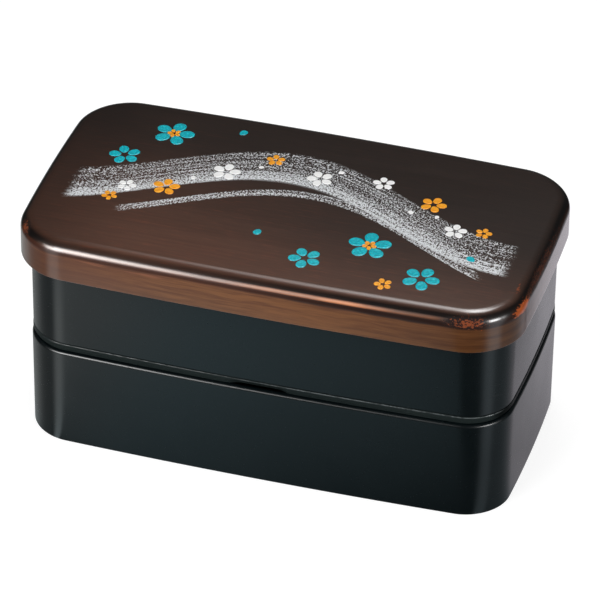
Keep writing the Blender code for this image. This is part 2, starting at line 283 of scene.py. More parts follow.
def makePatchGroup():
    # One worn place: solid in its middle, broken up into flecks towards its rim
    tree, ends, out = newGroup(
        "wornPatch", "ShaderNodeTree",
        [("Vector", vectorType, None), ("Middle", vectorType, None), ("Size", vectorType, None),
         ("Share", number, 1.0), ("Broken", number, 0.5), ("Seed", number, 0.0)],
        [("Mask", number)],
    )
    vector, broken = ends.outputs["Vector"], ends.outputs["Broken"]
    away = vectorCalc(tree, "SUBTRACT", vector, ends.outputs["Middle"])
    distance = vectorCalc(tree, "LENGTH", vectorCalc(tree, "DIVIDE", away, ends.outputs["Size"]))
    flecks = noise(tree, scaled(tree, vector, 1.0, 1.0, 1.5), wornPatch["fleckScale"], detail=3.0,
                   roughness=0.75, seed=ends.outputs["Seed"])
    rough = times(tree, calc(tree, "SUBTRACT", flecks, 0.5), broken)
    worn = timesPlus(tree, rough, wornPatch["fleckPull"], distance)
    worn = timesPlus(tree, broken, wornPatch["shrink"], worn)
    spread = wornPatch["shareSpread"]
    share = timesPlus(tree, flecks, -spread, calc(tree, "ADD", ends.outputs["Share"], spread / 2))
    tree.links.new(times(tree, ramp(tree, worn, *wornPatch["rim"]), share), out.inputs["Mask"])
    return tree


grainGroup = makeGrainGroup()
sprinkleGroup = makeSprinkleGroup()
rubGroup = makeRubGroup()
patchGroup = makePatchGroup()
surfaceGroup = makeSurfaceGroup()


def newMaterial(name):
    material = bpy.data.materials.new(name)
    material.use_nodes = True
    tree = material.node_tree
    coordinates = tree.nodes.new("ShaderNodeTexCoord").outputs["Object"]
    return material, tree, tree.nodes["Principled BSDF"], coordinates


def dress(tree, shader, values, height, depth):
    # Uniform values are set on the shader itself; the bump goes in last
    bump = put(tree, "ShaderNodeBump", {"Height": height, "Distance": depth})
    for key, value in {**values, "Normal": bump.outputs["Normal"]}.items():
        feed(tree, shader.inputs[key], value)


plasticLooks = {
    "tray": {
        "colour": (0.0015, 0.0036, 0.0044), "pale": (0.0021, 0.0047, 0.0056), "roughness": 0.25,
        "specular": 0.5, "peel": 0.5, "tooth": 0.4, "seed": 1.0},
    "innerLid": {
        "colour": (0.0105, 0.0150, 0.0150), "pale": (0.0135, 0.0185, 0.0180), "roughness": 0.40,
        "specular": 0.03, "peel": 0.5, "tooth": 1.0, "seed": 2.0},
    "divider": {
        "colour": (0.0070, 0.0105, 0.0118), "pale": (0.0105, 0.0140, 0.0150), "roughness": 0.42,
        "specular": 0.5, "peel": 0.3, "tooth": 1.8, "seed": 3.0},
    "lidInside": {
        "colour": (0.0200, 0.0105, 0.0070), "pale": (0.0280, 0.0150, 0.0100), "roughness": 0.38,
        "specular": 0.5, "peel": 0.4, "tooth": 1.2, "seed": 4.0},
}
plasticShine = {"ior": 1.52, "toneSpread": 0.02, "markRoughness": 0.07, "bump": 0.00002}

# The inner lids' flanges. Four numbers are from one value to another and the level at each; gloss,
# the painted glint and the painted shadow run along X
flangeLook = {
    "paintedGlintColour": (0.1100, 0.1250, 0.1280), "edgeDrop": 0.00025, "edgeReach": (0.0002, 0.0001),
    "dashScale": 260.0, "dashes": (0.42, 0.58, 0.25, 1.0), "coatRoughness": 0.20,
    "gloss": (0.0870, 0.0890, 0.90, 0.15), "paintedGlintShare": (-0.030, 0.030, 0.20, 0.90),
    "shadow": (0.0850, 0.0885, 0.00, 0.80),
}


def flangeEdge(tree, coordinates, colour):
    # A painted shadow darkens the right end; the top edge gets coat in dashes and there a painted glint.
    # Returns the colour and the coat's weight
    x, z = axes(tree, coordinates)[::2]
    colour = blendColour(tree, ramp(tree, x, *flangeLook["shadow"]), colour, (0.0, 0.0, 0.0))
    stretched = scaled(tree, coordinates, flangeLook["dashScale"], flangeLook["dashScale"], 0.0)
    dashes = noise(tree, stretched, 1.0, detail=3.0, roughness=0.8, seed=2.0)
    edges = []
    for top in (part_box("lower_inner_lid")[1].z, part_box("upper_inner_lid")[1].z):
        height = top - flangeLook["edgeDrop"]
        edges.append(ramp(tree, offFrom(tree, z, height), *flangeLook["edgeReach"]))
    coat = times(tree, calc(tree, "ADD", *edges), ramp(tree, dashes, *flangeLook["dashes"]),
                 ramp(tree, x, *flangeLook["gloss"]))
    paintedGlintShare = times(tree, coat, ramp(tree, x, *flangeLook["paintedGlintShare"]))
    return blendColour(tree, paintedGlintShare, colour, flangeLook["paintedGlintColour"]), coat


def makePlastic(name):
    look = plasticLooks[name]
    material, tree, shader, coordinates = newMaterial(name)
    surface = useGroup(tree, surfaceGroup, Vector=coordinates, Peel=look["peel"],
                       Tooth=look["tooth"], Seed=look["seed"])
    values = {"IOR": plasticShine["ior"], "Specular IOR Level": look["specular"]}
    colour = blendColour(tree, surface.outputs["Tone"], look["colour"], look["pale"])
    if name == "innerLid":
        colour, values["Coat Weight"] = flangeEdge(tree, coordinates, colour)
        values["Coat Roughness"] = flangeLook["coatRoughness"]
    low, high = (look["roughness"] + side * plasticShine["toneSpread"] for side in (-1, 1))
    rough = ramp(tree, surface.outputs["Tone"], 0.0, 1.0, low, high)
    values["Roughness"] = timesPlus(tree, surface.outputs["Marks"], plasticShine["markRoughness"], rough)
    values["Base Color"] = colour
    dress(tree, shader, values, surface.outputs["Height"], plasticShine["bump"])
    return material


sealLook = {
    "colour": (0.60, 0.60, 0.57), "pale": (0.70, 0.70, 0.67), "roughness": 0.46, "toneRoughness": 0.08,
    "peel": 0.2, "tooth": 2.0, "seed": 5.0, "glow": 0.25, "glowReach": (1.0, 1.0, 0.9), "glowDepth": 0.002,
    "ior": 1.41, "bump": 0.00003,
}


def makeSealMaterial():
    material, tree, shader, coordinates = newMaterial("siliconeMilky")
    surface = useGroup(tree, surfaceGroup, Vector=coordinates, Peel=sealLook["peel"],
                       Tooth=sealLook["tooth"], Seed=sealLook["seed"])
    tone = surface.outputs["Tone"]
    dress(tree, shader, {
        "Base Color": blendColour(tree, tone, sealLook["colour"], sealLook["pale"]),
        "Roughness": timesPlus(tree, tone, sealLook["toneRoughness"], sealLook["roughness"]),
        "Subsurface Weight": sealLook["glow"], "Subsurface Radius": sealLook["glowReach"],
        "Subsurface Scale": sealLook["glowDepth"], "IOR": sealLook["ior"],
    }, surface.outputs["Height"], sealLook["bump"])
    return material


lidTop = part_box("outer_lid")[1].z
lacquer = {
    "dark": (0.0235, 0.0145, 0.0112),       # top, towards the back and the right
    "warm": (0.0960, 0.0405, 0.0240),       # top, towards the front and the left
    "fleck": (0.1700, 0.0480, 0.0240),
    "skirtDark": (0.0880, 0.0260, 0.0060),
    "skirtLight": (0.1900, 0.0700, 0.0180),
    "skirtRed": (0.1300, 0.0360, 0.0130),   # towards its left end
    "skirtStreak": (0.2600, 0.0850, 0.0380),
    "under": (0.0560, 0.0170, 0.0080),      # dark band between the worn line and the skirt
    "line": (0.5800, 0.1900, 0.0550),       # soft wear along the edge
    "rub": (0.3800, 0.0760, 0.0130),        # worn through at the corners
    # Painted shade: the near black colour round three of the worn places
    "paintedShadeGround": (0.0120, 0.0030, 0.0010),  # left round the worn places
    "silver": (0.7600, 0.7800, 0.8000),
    "roughness": 0.32, "coatRoughness": 0.15, "ior": 1.45, "coatIor": 1.6, "specular": 0.25, "bump": 0.00002,
    "edge": lidTop - 0.0037,                # height of the worn edge on the shoulder
    "skirtStart": lidTop - 0.0059,
    "skirtDrop": 0.0007,                    # how much lower the skirt's colour starts at the right
    "lowerLip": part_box("outer_lid")[0].z + 0.0001,
    "flatEdge": lidTop - 0.00105,
    "lean": (-3.5, -13.0, 0.60),            # how fast the top darkens along X and Y, and how cloudily
    "topPores": (0.65, 0.10),               # what the warm part adds to their strength, and the least
    "skirtPores": 0.30, "skirtSway": 0.0040, "skirtBrush": 0.0008,
    # Painted shade: the skirt darkens away from its middle
    "skirtShadeMiddle": -0.008, "skirtShadeFall": -60.0, "skirtShadeLevel": 1.03,
    "shoulderShadeFade": 0.0012, "underFade": (0.0002, -0.0006), "flatFade": (-0.0001, 0.0002),
    "linePeak": 0.024,                      # where along X the soft line is brightest
    "streakDrop": 0.0008, "lowerRub": 0.6,
    "streakRoughness": 0.06, "markRoughness": 0.05, "silverRoughness": 0.12, "dullRoughness": 0.50,
    "silverMetal": 0.15, "silverCoat": -0.6, "dullCoat": -0.85, "silverHeight": 1.5, "streakHeight": 0.25,
}

# Patterns on the lid: features in a metre along X, Y and Z
lidPatterns = {
    "topGrain": (22.0, 900.0, 60.0), "clouds": (14.0, 40.0, 14.0), "wear": (45.0, 45.0, 500.0),
    "skirtGrain": (24.0, 24.0, 520.0), "sway": (30.0, 30.0, 90.0), "brush": (60.0, 60.0, 250.0),
    "fray": (60.0, 900.0, 0.0),
}

# Masks on the lid: from one place to another and, where they aren't 0 and 1, the levels there
lidMasks = {
    "rightHalf": (-0.02, 0.06), "skirtFade": (0.0009, -0.0001), "warmth": (-0.10, 1.15),
    # Painted shade along X: the masks for the top near its left end and for the shoulder
    "topStreaks": (0.0, 1.0, 0.86, 1.12), "topShadeLeft": (-0.094, -0.045, 0.50, 1.0),
    "shoulder": (-0.06, 0.05, 0.40, 0.07),
    "shoulderShadeLeft": (-0.086, -0.074, 0.15, 1.0), "underRight": (-0.03, 0.05, 1.0, 0.35),
    "skirtLeft": (-0.02, -0.08, 0.0, 0.6),
    "corner": (0.0030, 0.0041), "cornerRight": (-0.02, 0.06, 0.30, 1.0), "rightEnd": (0.088, 0.092, 0.0, 0.5),
    "line": (0.0009, 0.0001), "lineBroken": (0.30, 0.62, 0.40, 1.0),
    "lineCorner": (0.1, 0.6, 1.0, 0.0), "linePeak": (0.038, 0.010, 0.25, 1.0), "lineLeft": (-0.087, -0.076),
    "streak": (0.0012, 0.0002), "streakBroken": (0.50, 0.66), "streakLeft": (0.000, -0.060, 0.10, 0.75),
}

# Along the shoulder and along the lower lip polishing went through in many small flecks
edgeRubs = {
    "upper": {"Height": lacquer["edge"] - 0.0006, "Reach": 0.0012, "Amount": 0.06, "Seed": 4.0},
    "lower": {"Height": lacquer["lowerLip"], "Reach": 0.0007, "Amount": 0.30, "Seed": 6.0},
}

# Places where polishing went through to the red under-coat: middle, half size, share of the
# under-coat that shows and how broken up it is
wornPlaces = (
    {"Middle": (0.0933, -0.0332, 0.0872), "Size": (0.0042, 0.0078, 0.0022), "Share": 0.90, "Broken": 0.32},
    {"Middle": (0.0786, -0.0494, 0.0878), "Size": (0.0070, 0.0040, 0.0019), "Share": 0.45, "Broken": 1.10},
    {"Middle": (0.0938, -0.0100, 0.0885), "Size": (0.0030, 0.0220, 0.0014), "Share": 0.10, "Broken": 1.30},
    {"Middle": (0.0903, -0.0278, 0.0911), "Size": (0.0008, 0.0030, 0.0009), "Share": 0.45, "Broken": 0.80},
    {"Middle": (-0.0895, -0.0400, 0.0886), "Size": (0.0024, 0.0050, 0.0018), "Share": 0.40, "Broken": 0.70},
    {"Middle": (0.0860, 0.0470, 0.0876), "Size": (0.0060, 0.0060, 0.0017), "Share": 0.70, "Broken": 0.90},
    {"Middle": (-0.0900, 0.0420, 0.0878), "Size": (0.0045, 0.0075, 0.0018), "Share": 0.80, "Broken": 0.60},
    {"Middle": (-0.0200, 0.0508, 0.0876), "Size": (0.0150, 0.0040, 0.0012), "Share": 0.45, "Broken": 1.00},
)

# Painted shade: near black colour, with a duller finish, round three of them
paintedShadePlaces = (
    {"Middle": (0.0776, -0.0492, 0.0878), "Size": (0.0105, 0.0050, 0.0024), "Share": 0.90, "Broken": 0.15},
    {"Middle": (-0.0895, -0.0400, 0.0888), "Size": (0.0030, 0.0075, 0.0024), "Share": 0.70, "Broken": 0.15},
    {"Middle": (0.0940, -0.0050, 0.0880), "Size": (0.0040, 0.0330, 0.0022), "Share": 0.70, "Broken": 0.15},
)

# Two strands of silver powder on the lid: each runs along a cosine arch between two places on X
strands = (
    {"halfWidth": 0.0100, "crest": -0.006, "rise": 0.0165, "base": 0.0040, "period": 0.176,
     "density": 0.28, "lean": 0.46, "from": -0.079, "to": 0.081, "seed": 7.0},
    {"halfWidth": 0.0021, "crest": 0.004, "rise": 0.0175, "base": -0.0125, "period": 0.184,
     "density": 0.36, "lean": 0.12, "from": -0.058, "to": 0.072, "seed": 8.0},
)
fray = {"reach": 0.008, "fade": 0.004}


def strandMask(tree, coordinates, strand):
    x, y = axes(tree, coordinates)[:2]
    phase = times(tree, calc(tree, "SUBTRACT", x, strand["crest"]), 2 * math.pi / strand["period"])
    centre = timesPlus(tree, calc(tree, "COSINE", phase), strand["rise"], strand["base"])
    powder = useGroup(tree, sprinkleGroup, **{
        "Vector": coordinates, "Off Centre": calc(tree, "SUBTRACT", y, centre),
        "Half Width": strand["halfWidth"], "Density": strand["density"],
        "Lean": strand["lean"], "Seed": strand["seed"],
    })
    frayed = noise(tree, scaled(tree, coordinates, *lidPatterns["fray"]), 1.0)
    frayed = timesPlus(tree, frayed, fray["reach"], x)
    started = ramp(tree, frayed, strand["from"], strand["from"] + fray["fade"])
    ended = ramp(tree, frayed, strand["to"] + fray["reach"], strand["to"] + fray["fade"])
    return times(tree, powder.outputs["Mask"], times(tree, started, ended))


def makeLacquer():
    material, tree, shader, coordinates = newMaterial("brownLacquer")
    x, y, z = axes(tree, coordinates)

    def masked(value, name):
        return ramp(tree, value, *lidMasks[name])

    def pattern(name, **settings):
        return noise(tree, scaled(tree, coordinates, *lidPatterns[name]), 1.0, **settings)

    def patch(place, seed):
        return useGroup(tree, patchGroup, Vector=coordinates, Seed=seed, **place).outputs["Mask"]

    onTop = useGroup(tree, grainGroup, Vector=scaled(tree, coordinates, *lidPatterns["topGrain"]), Seed=1.0)
    swayedZ = timesPlus(tree, pattern("sway"), lacquer["skirtSway"], z)
    swayed = put(tree, "ShaderNodeCombineXYZ", {"X": x, "Y": y, "Z": swayedZ}).outputs[0]
    onSkirt = useGroup(tree, grainGroup, Vector=scaled(tree, swayed, *lidPatterns["skirtGrain"]), Seed=2.0)
    start = timesPlus(tree, masked(x, "rightHalf"), -lacquer["skirtDrop"], lacquer["skirtStart"])
    brushed = timesPlus(tree, pattern("brush"), lacquer["skirtBrush"], z)
    skirt = masked(calc(tree, "SUBTRACT", brushed, start), "skirtFade")

    # Top: near black at the back and the right, redder towards the front and the left
    leanX, leanY, cloudy = lacquer["lean"]
    lean = timesPlus(tree, y, leanY, times(tree, x, leanX))
    lean = timesPlus(tree, pattern("clouds", detail=4.0, seed=3.0), cloudy, lean)
    warmth = masked(lean, "warmth")
    topColour = blendColour(tree, warmth, lacquer["dark"], lacquer["warm"])
    pores = times(tree, onTop.outputs["Pores"], timesPlus(tree, warmth, *lacquer["topPores"]))
    topColour = blendColour(tree, pores, topColour, lacquer["fleck"])
    tone = ramp(tree, onTop.outputs["Streaks"], *lidMasks["topStreaks"], smooth=False)
    # Painted shade: the top darkens near its left end, and the shoulder darkens below the flat's edge, most
    # at the right and near the left corner
    tone = times(tree, tone, masked(x, "topShadeLeft"))
    shade = times(tree, masked(x, "shoulder"), masked(x, "shoulderShadeLeft"))
    flatEdge, edge = lacquer["flatEdge"], lacquer["edge"]
    shoulder = ramp(tree, z, flatEdge, flatEdge - lacquer["shoulderShadeFade"], 1.0, shade)
    topColour = shaded(tree, topColour, times(tree, tone, shoulder))
    underColour = shaded(tree, lacquer["under"], masked(x, "underRight"))
    under = ramp(tree, z, *(edge + off for off in lacquer["underFade"]))
    topColour = blendColour(tree, under, topColour, underColour)

    # Skirt: golden brown with soft level brush streaks; painted shade makes it darker towards its ends
    skirtColour = blendColour(tree, onSkirt.outputs["Streaks"], lacquer["skirtDark"], lacquer["skirtLight"])
    pores = times(tree, onSkirt.outputs["Pores"], lacquer["skirtPores"])
    skirtColour = blendColour(tree, pores, skirtColour, lacquer["skirtDark"])
    skirtShadeOffset = calc(tree, "POWER", calc(tree, "ADD", x, -lacquer["skirtShadeMiddle"]), 2.0)
    skirtColour = blendColour(tree, masked(x, "skirtLeft"), skirtColour, lacquer["skirtRed"])
    level = timesPlus(tree, skirtShadeOffset, lacquer["skirtShadeFall"], lacquer["skirtShadeLevel"])
    skirtColour = shaded(tree, skirtColour, level)
    colour = blendColour(tree, skirt, topColour, skirtColour)

    # Wear: a soft line along the crease, a streak under it and flecks through to the under-coat
    corner = times(tree, calc(tree, "ABSOLUTE", x), calc(tree, "ABSOLUTE", y))
    toCorner = times(tree, masked(corner, "corner"), masked(x, "cornerRight"))
    toCorner = calc(tree, "MAXIMUM", toCorner, masked(x, "rightEnd"))
    soft = pattern("wear", detail=3.0, seed=10.0)
    line = times(tree, masked(offFrom(tree, z, edge), "line"), masked(soft, "lineBroken"),
                 masked(toCorner, "lineCorner"), masked(offFrom(tree, x, lacquer["linePeak"]), "linePeak"),
                 masked(x, "lineLeft"))
    colour = blendColour(tree, line, colour, lacquer["line"])
    streak = times(tree, masked(offFrom(tree, swayedZ, edge - lacquer["streakDrop"]), "streak"),
                   masked(soft, "streakBroken"), masked(x, "streakLeft"))
    colour = blendColour(tree, streak, colour, lacquer["skirtStreak"])
    rubbed, lower = (useGroup(tree, rubGroup, Vector=coordinates, **edgeRubs[place]).outputs["Mask"]
                     for place in ("upper", "lower"))
    for place in wornPlaces:
        rubbed = calc(tree, "MAXIMUM", rubbed, patch(place, 20.0))
    dulled = 0.0
    for place in paintedShadePlaces:
        mask = patch(place, 21.0)
        colour = blendColour(tree, mask, colour, lacquer["paintedShadeGround"])
        dulled = calc(tree, "MAXIMUM", dulled, mask)
    colour = blendColour(tree, rubbed, colour, lacquer["rub"])
    colour = blendColour(tree, times(tree, lower, lacquer["lowerRub"]), colour, lacquer["skirtLight"])

    # Silver powder, on the flat of the top only
    flat = ramp(tree, z, *(flatEdge + off for off in lacquer["flatFade"]))
    silver = calc(tree, "MAXIMUM", *(strandMask(tree, coordinates, strand) for strand in strands))
    silver = times(tree, silver, flat)

    # The powder and the dull places are rougher, with less coat over them
    surface = useGroup(tree, surfaceGroup, Vector=coordinates, Peel=0.5, Tooth=0.2, Seed=9.0)
    streaks = onTop.outputs["Streaks"]
    rough = lacquer["roughness"]
    for layer, key in ((streaks, "streakRoughness"), (surface.outputs["Marks"], "markRoughness"),
                       (silver, "silverRoughness"), (dulled, "dullRoughness")):
        rough = timesPlus(tree, layer, lacquer[key], rough)
    coat = times(tree, timesPlus(tree, silver, lacquer["silverCoat"], 1.0),
                 timesPlus(tree, dulled, lacquer["dullCoat"], 1.0))
    height = timesPlus(tree, silver, lacquer["silverHeight"], surface.outputs["Height"])
    height = timesPlus(tree, streaks, lacquer["streakHeight"], height)
    dress(tree, shader, {
        "Base Color": blendColour(tree, silver, colour, lacquer["silver"]), "Roughness": rough,
        "Metallic": times(tree, silver, lacquer["silverMetal"]),
        "IOR": lacquer["ior"], "Specular IOR Level": lacquer["specular"],
        "Coat Weight": coat, "Coat Roughness": lacquer["coatRoughness"], "Coat IOR": lacquer["coatIor"],
    }, height, lacquer["bump"])
    return material


enamelLooks = {
    "turquoise": {
        "colour": (0.001, 0.375, 0.455), "pale": (0.008, 0.610, 0.680), "roughness": 0.22, "seed": 11.0},
    "orange": {
        "colour": (0.920, 0.330, 0.002), "pale": (0.980, 0.470, 0.008), "roughness": 0.30, "seed": 12.0},
    "white": {
        "colour": (0.930, 0.926, 0.920), "pale": (0.970, 0.968, 0.965), "roughness": 0.34, "seed": 13.0},
}
glaze = {
    "mottleScale": 1100.0, "mottle": (0.42, 0.70), "toneRoughness": 0.10, "coat": 0.10, "coatRoughness": 0.12,
    "bump": 0.00004,
}


def makeEnamel(name):
    look = enamelLooks[name]
    material, tree, shader, coordinates = newMaterial(name + "Enamel")
    surface = useGroup(tree, surfaceGroup, Vector=coordinates, Peel=1.0, Tooth=1.0, Seed=look["seed"])
    mottle = noise(tree, coordinates, glaze["mottleScale"], detail=3.0, roughness=0.65, seed=look["seed"])
    dress(tree, shader, {
        "Base Color": blendColour(tree, ramp(tree, mottle, *glaze["mottle"]), look["colour"], look["pale"]),
        "Roughness": timesPlus(tree, surface.outputs["Tone"], glaze["toneRoughness"], look["roughness"]),
        "Coat Weight": glaze["coat"], "Coat Roughness": glaze["coatRoughness"],
    }, calc(tree, "ADD", surface.outputs["Height"], mottle), glaze["bump"])
    return material


plastics = {name: makePlastic(name) for name in plasticLooks}
sealMaterial = makeSealMaterial()
lacquerMaterial = makeLacquer()
enamels = {name: makeEnamel(name) for name in enamelLooks}
print("materials made:", len(plastics) + len(enamels) + 2)


# Geometry Nodes: a profile swept round a rounded rectangle whose sides bow out a little

sweepQuality = {
    "stations": 384, "cornerSteps": 64, "smallArc": 5, "largeArc": 12, "middleRings": 6, "ringEase": 1.3,
}
sharpAngle = math.radians(40)
mergeDistance = 0.000002


def makeSweepTree():
    inputs = [("Profile", geometry, None), ("Length", number, 0.18), ("Width", number, 0.09),
              ("Corner", number, 0.016), ("Long Bow", number, 0.002), ("Short Bow", number, 0.0016),
              ("Stations", "NodeSocketInt", 360), ("Material", "NodeSocketMaterial", None)]
    tree, ends, out = newGroup("sweptOutline", "GeometryNodeTree", inputs, [("Shell", geometry)])
    given = ends.outputs
    frameLine = put(tree, "GeometryNodeCurvePrimitiveQuadrilateral",
                    {"Width": given["Length"], "Height": given["Width"]})
    rounded = put(tree, "GeometryNodeFilletCurve", {
        "Curve": frameLine.outputs[0], "Radius": given["Corner"], "Count": sweepQuality["cornerSteps"],
    }, mode="POLY")
    spaced = put(tree, "GeometryNodeResampleCurve",
                 {"Curve": rounded.outputs[0], "Count": given["Stations"]}, mode="COUNT")
    x, y = axes(tree, put(tree, "GeometryNodeInputPosition").outputs[0])[:2]
    halfLength, halfWidth = times(tree, given["Length"], 0.5), times(tree, given["Width"], 0.5)

    def bowed(own, ownHalf, other, otherHalf, bow):
        share = calc(tree, "POWER", calc(tree, "ABSOLUTE", calc(tree, "DIVIDE", other, otherHalf)), 2.0)
        drawnIn = times(tree, calc(tree, "DIVIDE", bow, ownHalf), share)
        return times(tree, own, calc(tree, "SUBTRACT", 1.0, drawnIn))

    bowedPlace = put(tree, "ShaderNodeCombineXYZ", {
        "X": bowed(x, halfLength, y, halfWidth, given["Short Bow"]),
        "Y": bowed(y, halfWidth, x, halfLength, given["Long Bow"]),
    })
    path = put(tree, "GeometryNodeSetPosition",
               {"Geometry": spaced.outputs[0], "Position": bowedPlace.outputs[0]})
    upright = put(tree, "GeometryNodeSetCurveNormal", {"Curve": path.outputs[0]}, mode="Z_UP")
    section = put(tree, "GeometryNodeMeshToCurve", {"Mesh": given["Profile"]})
    shell = put(tree, "GeometryNodeCurveToMesh",
                {"Curve": upright.outputs[0], "Profile Curve": section.outputs[0]})
    solid = put(tree, "GeometryNodeRealizeInstances", {"Geometry": shell.outputs[0]})
    finished = put(tree, "GeometryNodeSetMaterial",
                   {"Geometry": solid.outputs[0], "Material": given["Material"]})
    tree.links.new(finished.outputs[0], out.inputs[0])
    return tree


sweepTree = makeSweepTree()


def evaluatedMesh(host):
    bpy.context.view_layer.update()
    depsgraph = bpy.context.evaluated_depsgraph_get()
    return bpy.data.meshes.new_from_object(host.evaluated_get(depsgraph), depsgraph=depsgraph)


def applyTree(host, tree, values):
    # Sets the inputs by their identifiers, evaluates, and keeps the result as a plain mesh
    modifier = host.modifiers.new(tree.name, "NODES")
    modifier.node_group = tree
    for item in tree.interface.items_tree:
        if item.in_out == "INPUT" and item.name in values:
            modifier[item.identifier] = values[item.name]
    mesh = evaluatedMesh(host)
    host.modifiers.remove(modifier)
    return mesh


def newObject(name, data):
    item = bpy.data.objects.new(name, data)
    bpy.context.scene.collection.objects.link(item)
    return item


def arc(centreInset, centreHeight, radius, start, end, steps):
    # Angle 0 points out of the box, 90 degrees points up
    points = []
    for step in range(steps + 1):
        angle = math.radians(start + (end - start) * step / steps)
        points.append((centreInset - radius * math.cos(angle), centreHeight + radius * math.sin(angle)))
    return points


def supported(profile, closed=False):
    # Extra points just inside the ends of each long run keep the shading of flat walls flat
    support = 0.00025
    result = []
    pairs = list(zip(profile, profile[1:] + profile[:1]))
    for index, (start, end) in enumerate(pairs):
        result.append(start)
        if index == len(pairs) - 1 and not closed:
            break
        run = math.hypot(end[0] - start[0], end[1] - start[1])
        if run > 4 * support:
            for share in (support / run, 1 - support / run):
                result.append((start[0] + (end[0] - start[0]) * share,
                               start[1] + (end[1] - start[1]) * share))
    return result


def sweep(plan, profile, material, closed=False):
    # Returns a bmesh whose vertices run station by station along the profile
    points = supported(profile, closed)
    mesh = bpy.data.meshes.new("profile")
    edges = [(index, index + 1) for index in range(len(points) - 1)]
    if closed:
        edges.append((len(points) - 1, 0))
    mesh.from_pydata([(-inset, -height, 0.0) for inset, height in points], edges, [])
    host = newObject("profile", mesh)
    swept = applyTree(host, sweepTree, {
        "Length": plan["length"], "Width": plan["width"], "Corner": plan["corner"],
        "Long Bow": plan["longBow"], "Short Bow": plan["shortBow"],
        "Stations": sweepQuality["stations"], "Material": material,
    })
    shell = bmesh.new()
    shell.from_mesh(swept)
    shell.verts.ensure_lookup_table()
    bpy.data.objects.remove(host)
    bpy.data.meshes.remove(mesh)
    bpy.data.meshes.remove(swept)
    return shell, len(points)


def bridge(shell, first, second, slot=0):
    for index, corner in enumerate(first):
        after = (index + 1) % len(first)
        face = shell.faces.new((corner, first[after], second[after], second[index]))
        face.material_index = slot


def loopAt(shell, count, index):
    shell.verts.ensure_lookup_table()
    return [shell.verts[number] for number in range(index, sweepQuality["stations"] * count, count)]


def closeMiddle(shell, loop, plan, rise=None, slot=0):
    # Rings from an open loop to the line along the middle; rise gives the height at each share
    rings = sweepQuality["middleRings"] * (2 if rise else 1)
    middle = (plan["length"] - plan["width"]) / 2
    outer = [vert.co.copy() for vert in loop]
    before = loop
    for ring in range(1, rings + 1):
        share = (ring / rings) ** sweepQuality["ringEase"]
        following = []
        for place in outer:
            target = max(-middle, min(middle, place.x))
            lift = rise(share) if rise else 0.0
            following.append(shell.verts.new((
                place.x + (target - place.x) * share, place.y * (1 - share), place.z + lift)))
        bridge(shell, before, following, slot)
        before = following


def finishShell(name, shell, materials):
    bmesh.ops.remove_doubles(shell, verts=shell.verts, dist=mergeDistance)
    bmesh.ops.dissolve_degenerate(shell, edges=shell.edges, dist=mergeDistance / 2)
    bmesh.ops.recalc_face_normals(shell, faces=shell.faces)
    mesh = bpy.data.meshes.new(name)
    shell.to_mesh(mesh)
    shell.free()
    mesh.shade_smooth()
    mesh.set_sharp_from_angle(angle=sharpAngle)
    mesh.materials.clear()
    for material in materials:
        mesh.materials.append(material)
    return newObject(name, mesh)


def standFor(piece, node, body):
    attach(piece, body)
    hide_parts(node)
    print(piece.name, "made:", len(piece.data.polygons), "faces")


# Trays

tray = {
    "wall": 0.0022, "floor": 0.0020, "draft": 0.0002, "fillet": 0.0060,
    "rimOuter": 0.0014, "rimInner": 0.0003, "bottomRound": 0.0005,
    "footWidth": 0.0026, "footRecess": 0.0008, "footSlope": 0.0004, "footRound": 0.0002,
    "footStep": 0.0001, "footRun": 0.0002, "footBevel": 0.0002, "upperInset": 0.0002, "seamPlay": 0.0001,
    "plugPlay": 0.0008, "recessIn": 0.0031,
}
plugInset = tray["wall"] + tray["plugPlay"]     # the inner lid's plug, inside the tray's wall
recessInset = plugInset + tray["recessIn"]      # the inner lid's recess, where the upper tray's foot stands


def trayWalls(base, floorTop, rim):
    small, large = sweepQuality["smallArc"], sweepQuality["largeArc"]
    foot = tray["wall"] + tray["draft"] + tray["fillet"]
    points = arc(foot, floorTop + tray["fillet"], tray["fillet"], -90, 0, large)
    points += arc(tray["wall"] - tray["rimInner"], rim - tray["rimInner"], tray["rimInner"], 180, 90, small)
    points += arc(tray["rimOuter"], rim - tray["rimOuter"], tray["rimOuter"], 90, 0, 2 * small)
    points += arc(tray["draft"] + tray["bottomRound"], base + tray["bottomRound"],
                  tray["bottomRound"], 0, -90, 2 * small)
    return points


def footRing(outerInset, bottom, starts):
    # From the outer side of the foot to the recessed floor inside it
    edge = tray["footRound"]
    inner = outerInset + tray["footWidth"]
    points = arc(outerInset + edge, bottom + edge, edge, 0, -90, 3) if starts else []
    points += arc(inner - edge, bottom + edge, edge, -90, -165, 3)
    start = inner + tray["footSlope"]
    points += [(start, bottom + tray["footRecess"] - tray["footStep"]),
               (start + tray["footRun"], bottom + tray["footRecess"])]
    return points


def makeTray(name, plan, profile, body):
    shell, count = sweep(plan, profile, plastics["tray"])
    for index in (0, count - 1):
        closeMiddle(shell, loopAt(shell, count, index), plan)
    standFor(finishShell(name, shell, [plastics["tray"]]), body, body)


lowerPlan = planOf("lower_tier", **trayPlan)
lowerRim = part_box("lower_tier")[1].z
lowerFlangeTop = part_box("lower_inner_lid")[1].z
upperBase = lowerFlangeTop + tray["seamPlay"]
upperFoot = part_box("upper_tier")[0].z
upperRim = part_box("upper_tier")[1].z
lowerProfile = trayWalls(0.0, tray["footRecess"] + tray["floor"], lowerRim)
lowerProfile += footRing(tray["draft"] + tray["bottomRound"], 0.0, starts=False)
makeTray("lowerTray", lowerPlan, lowerProfile, "lower_tier")

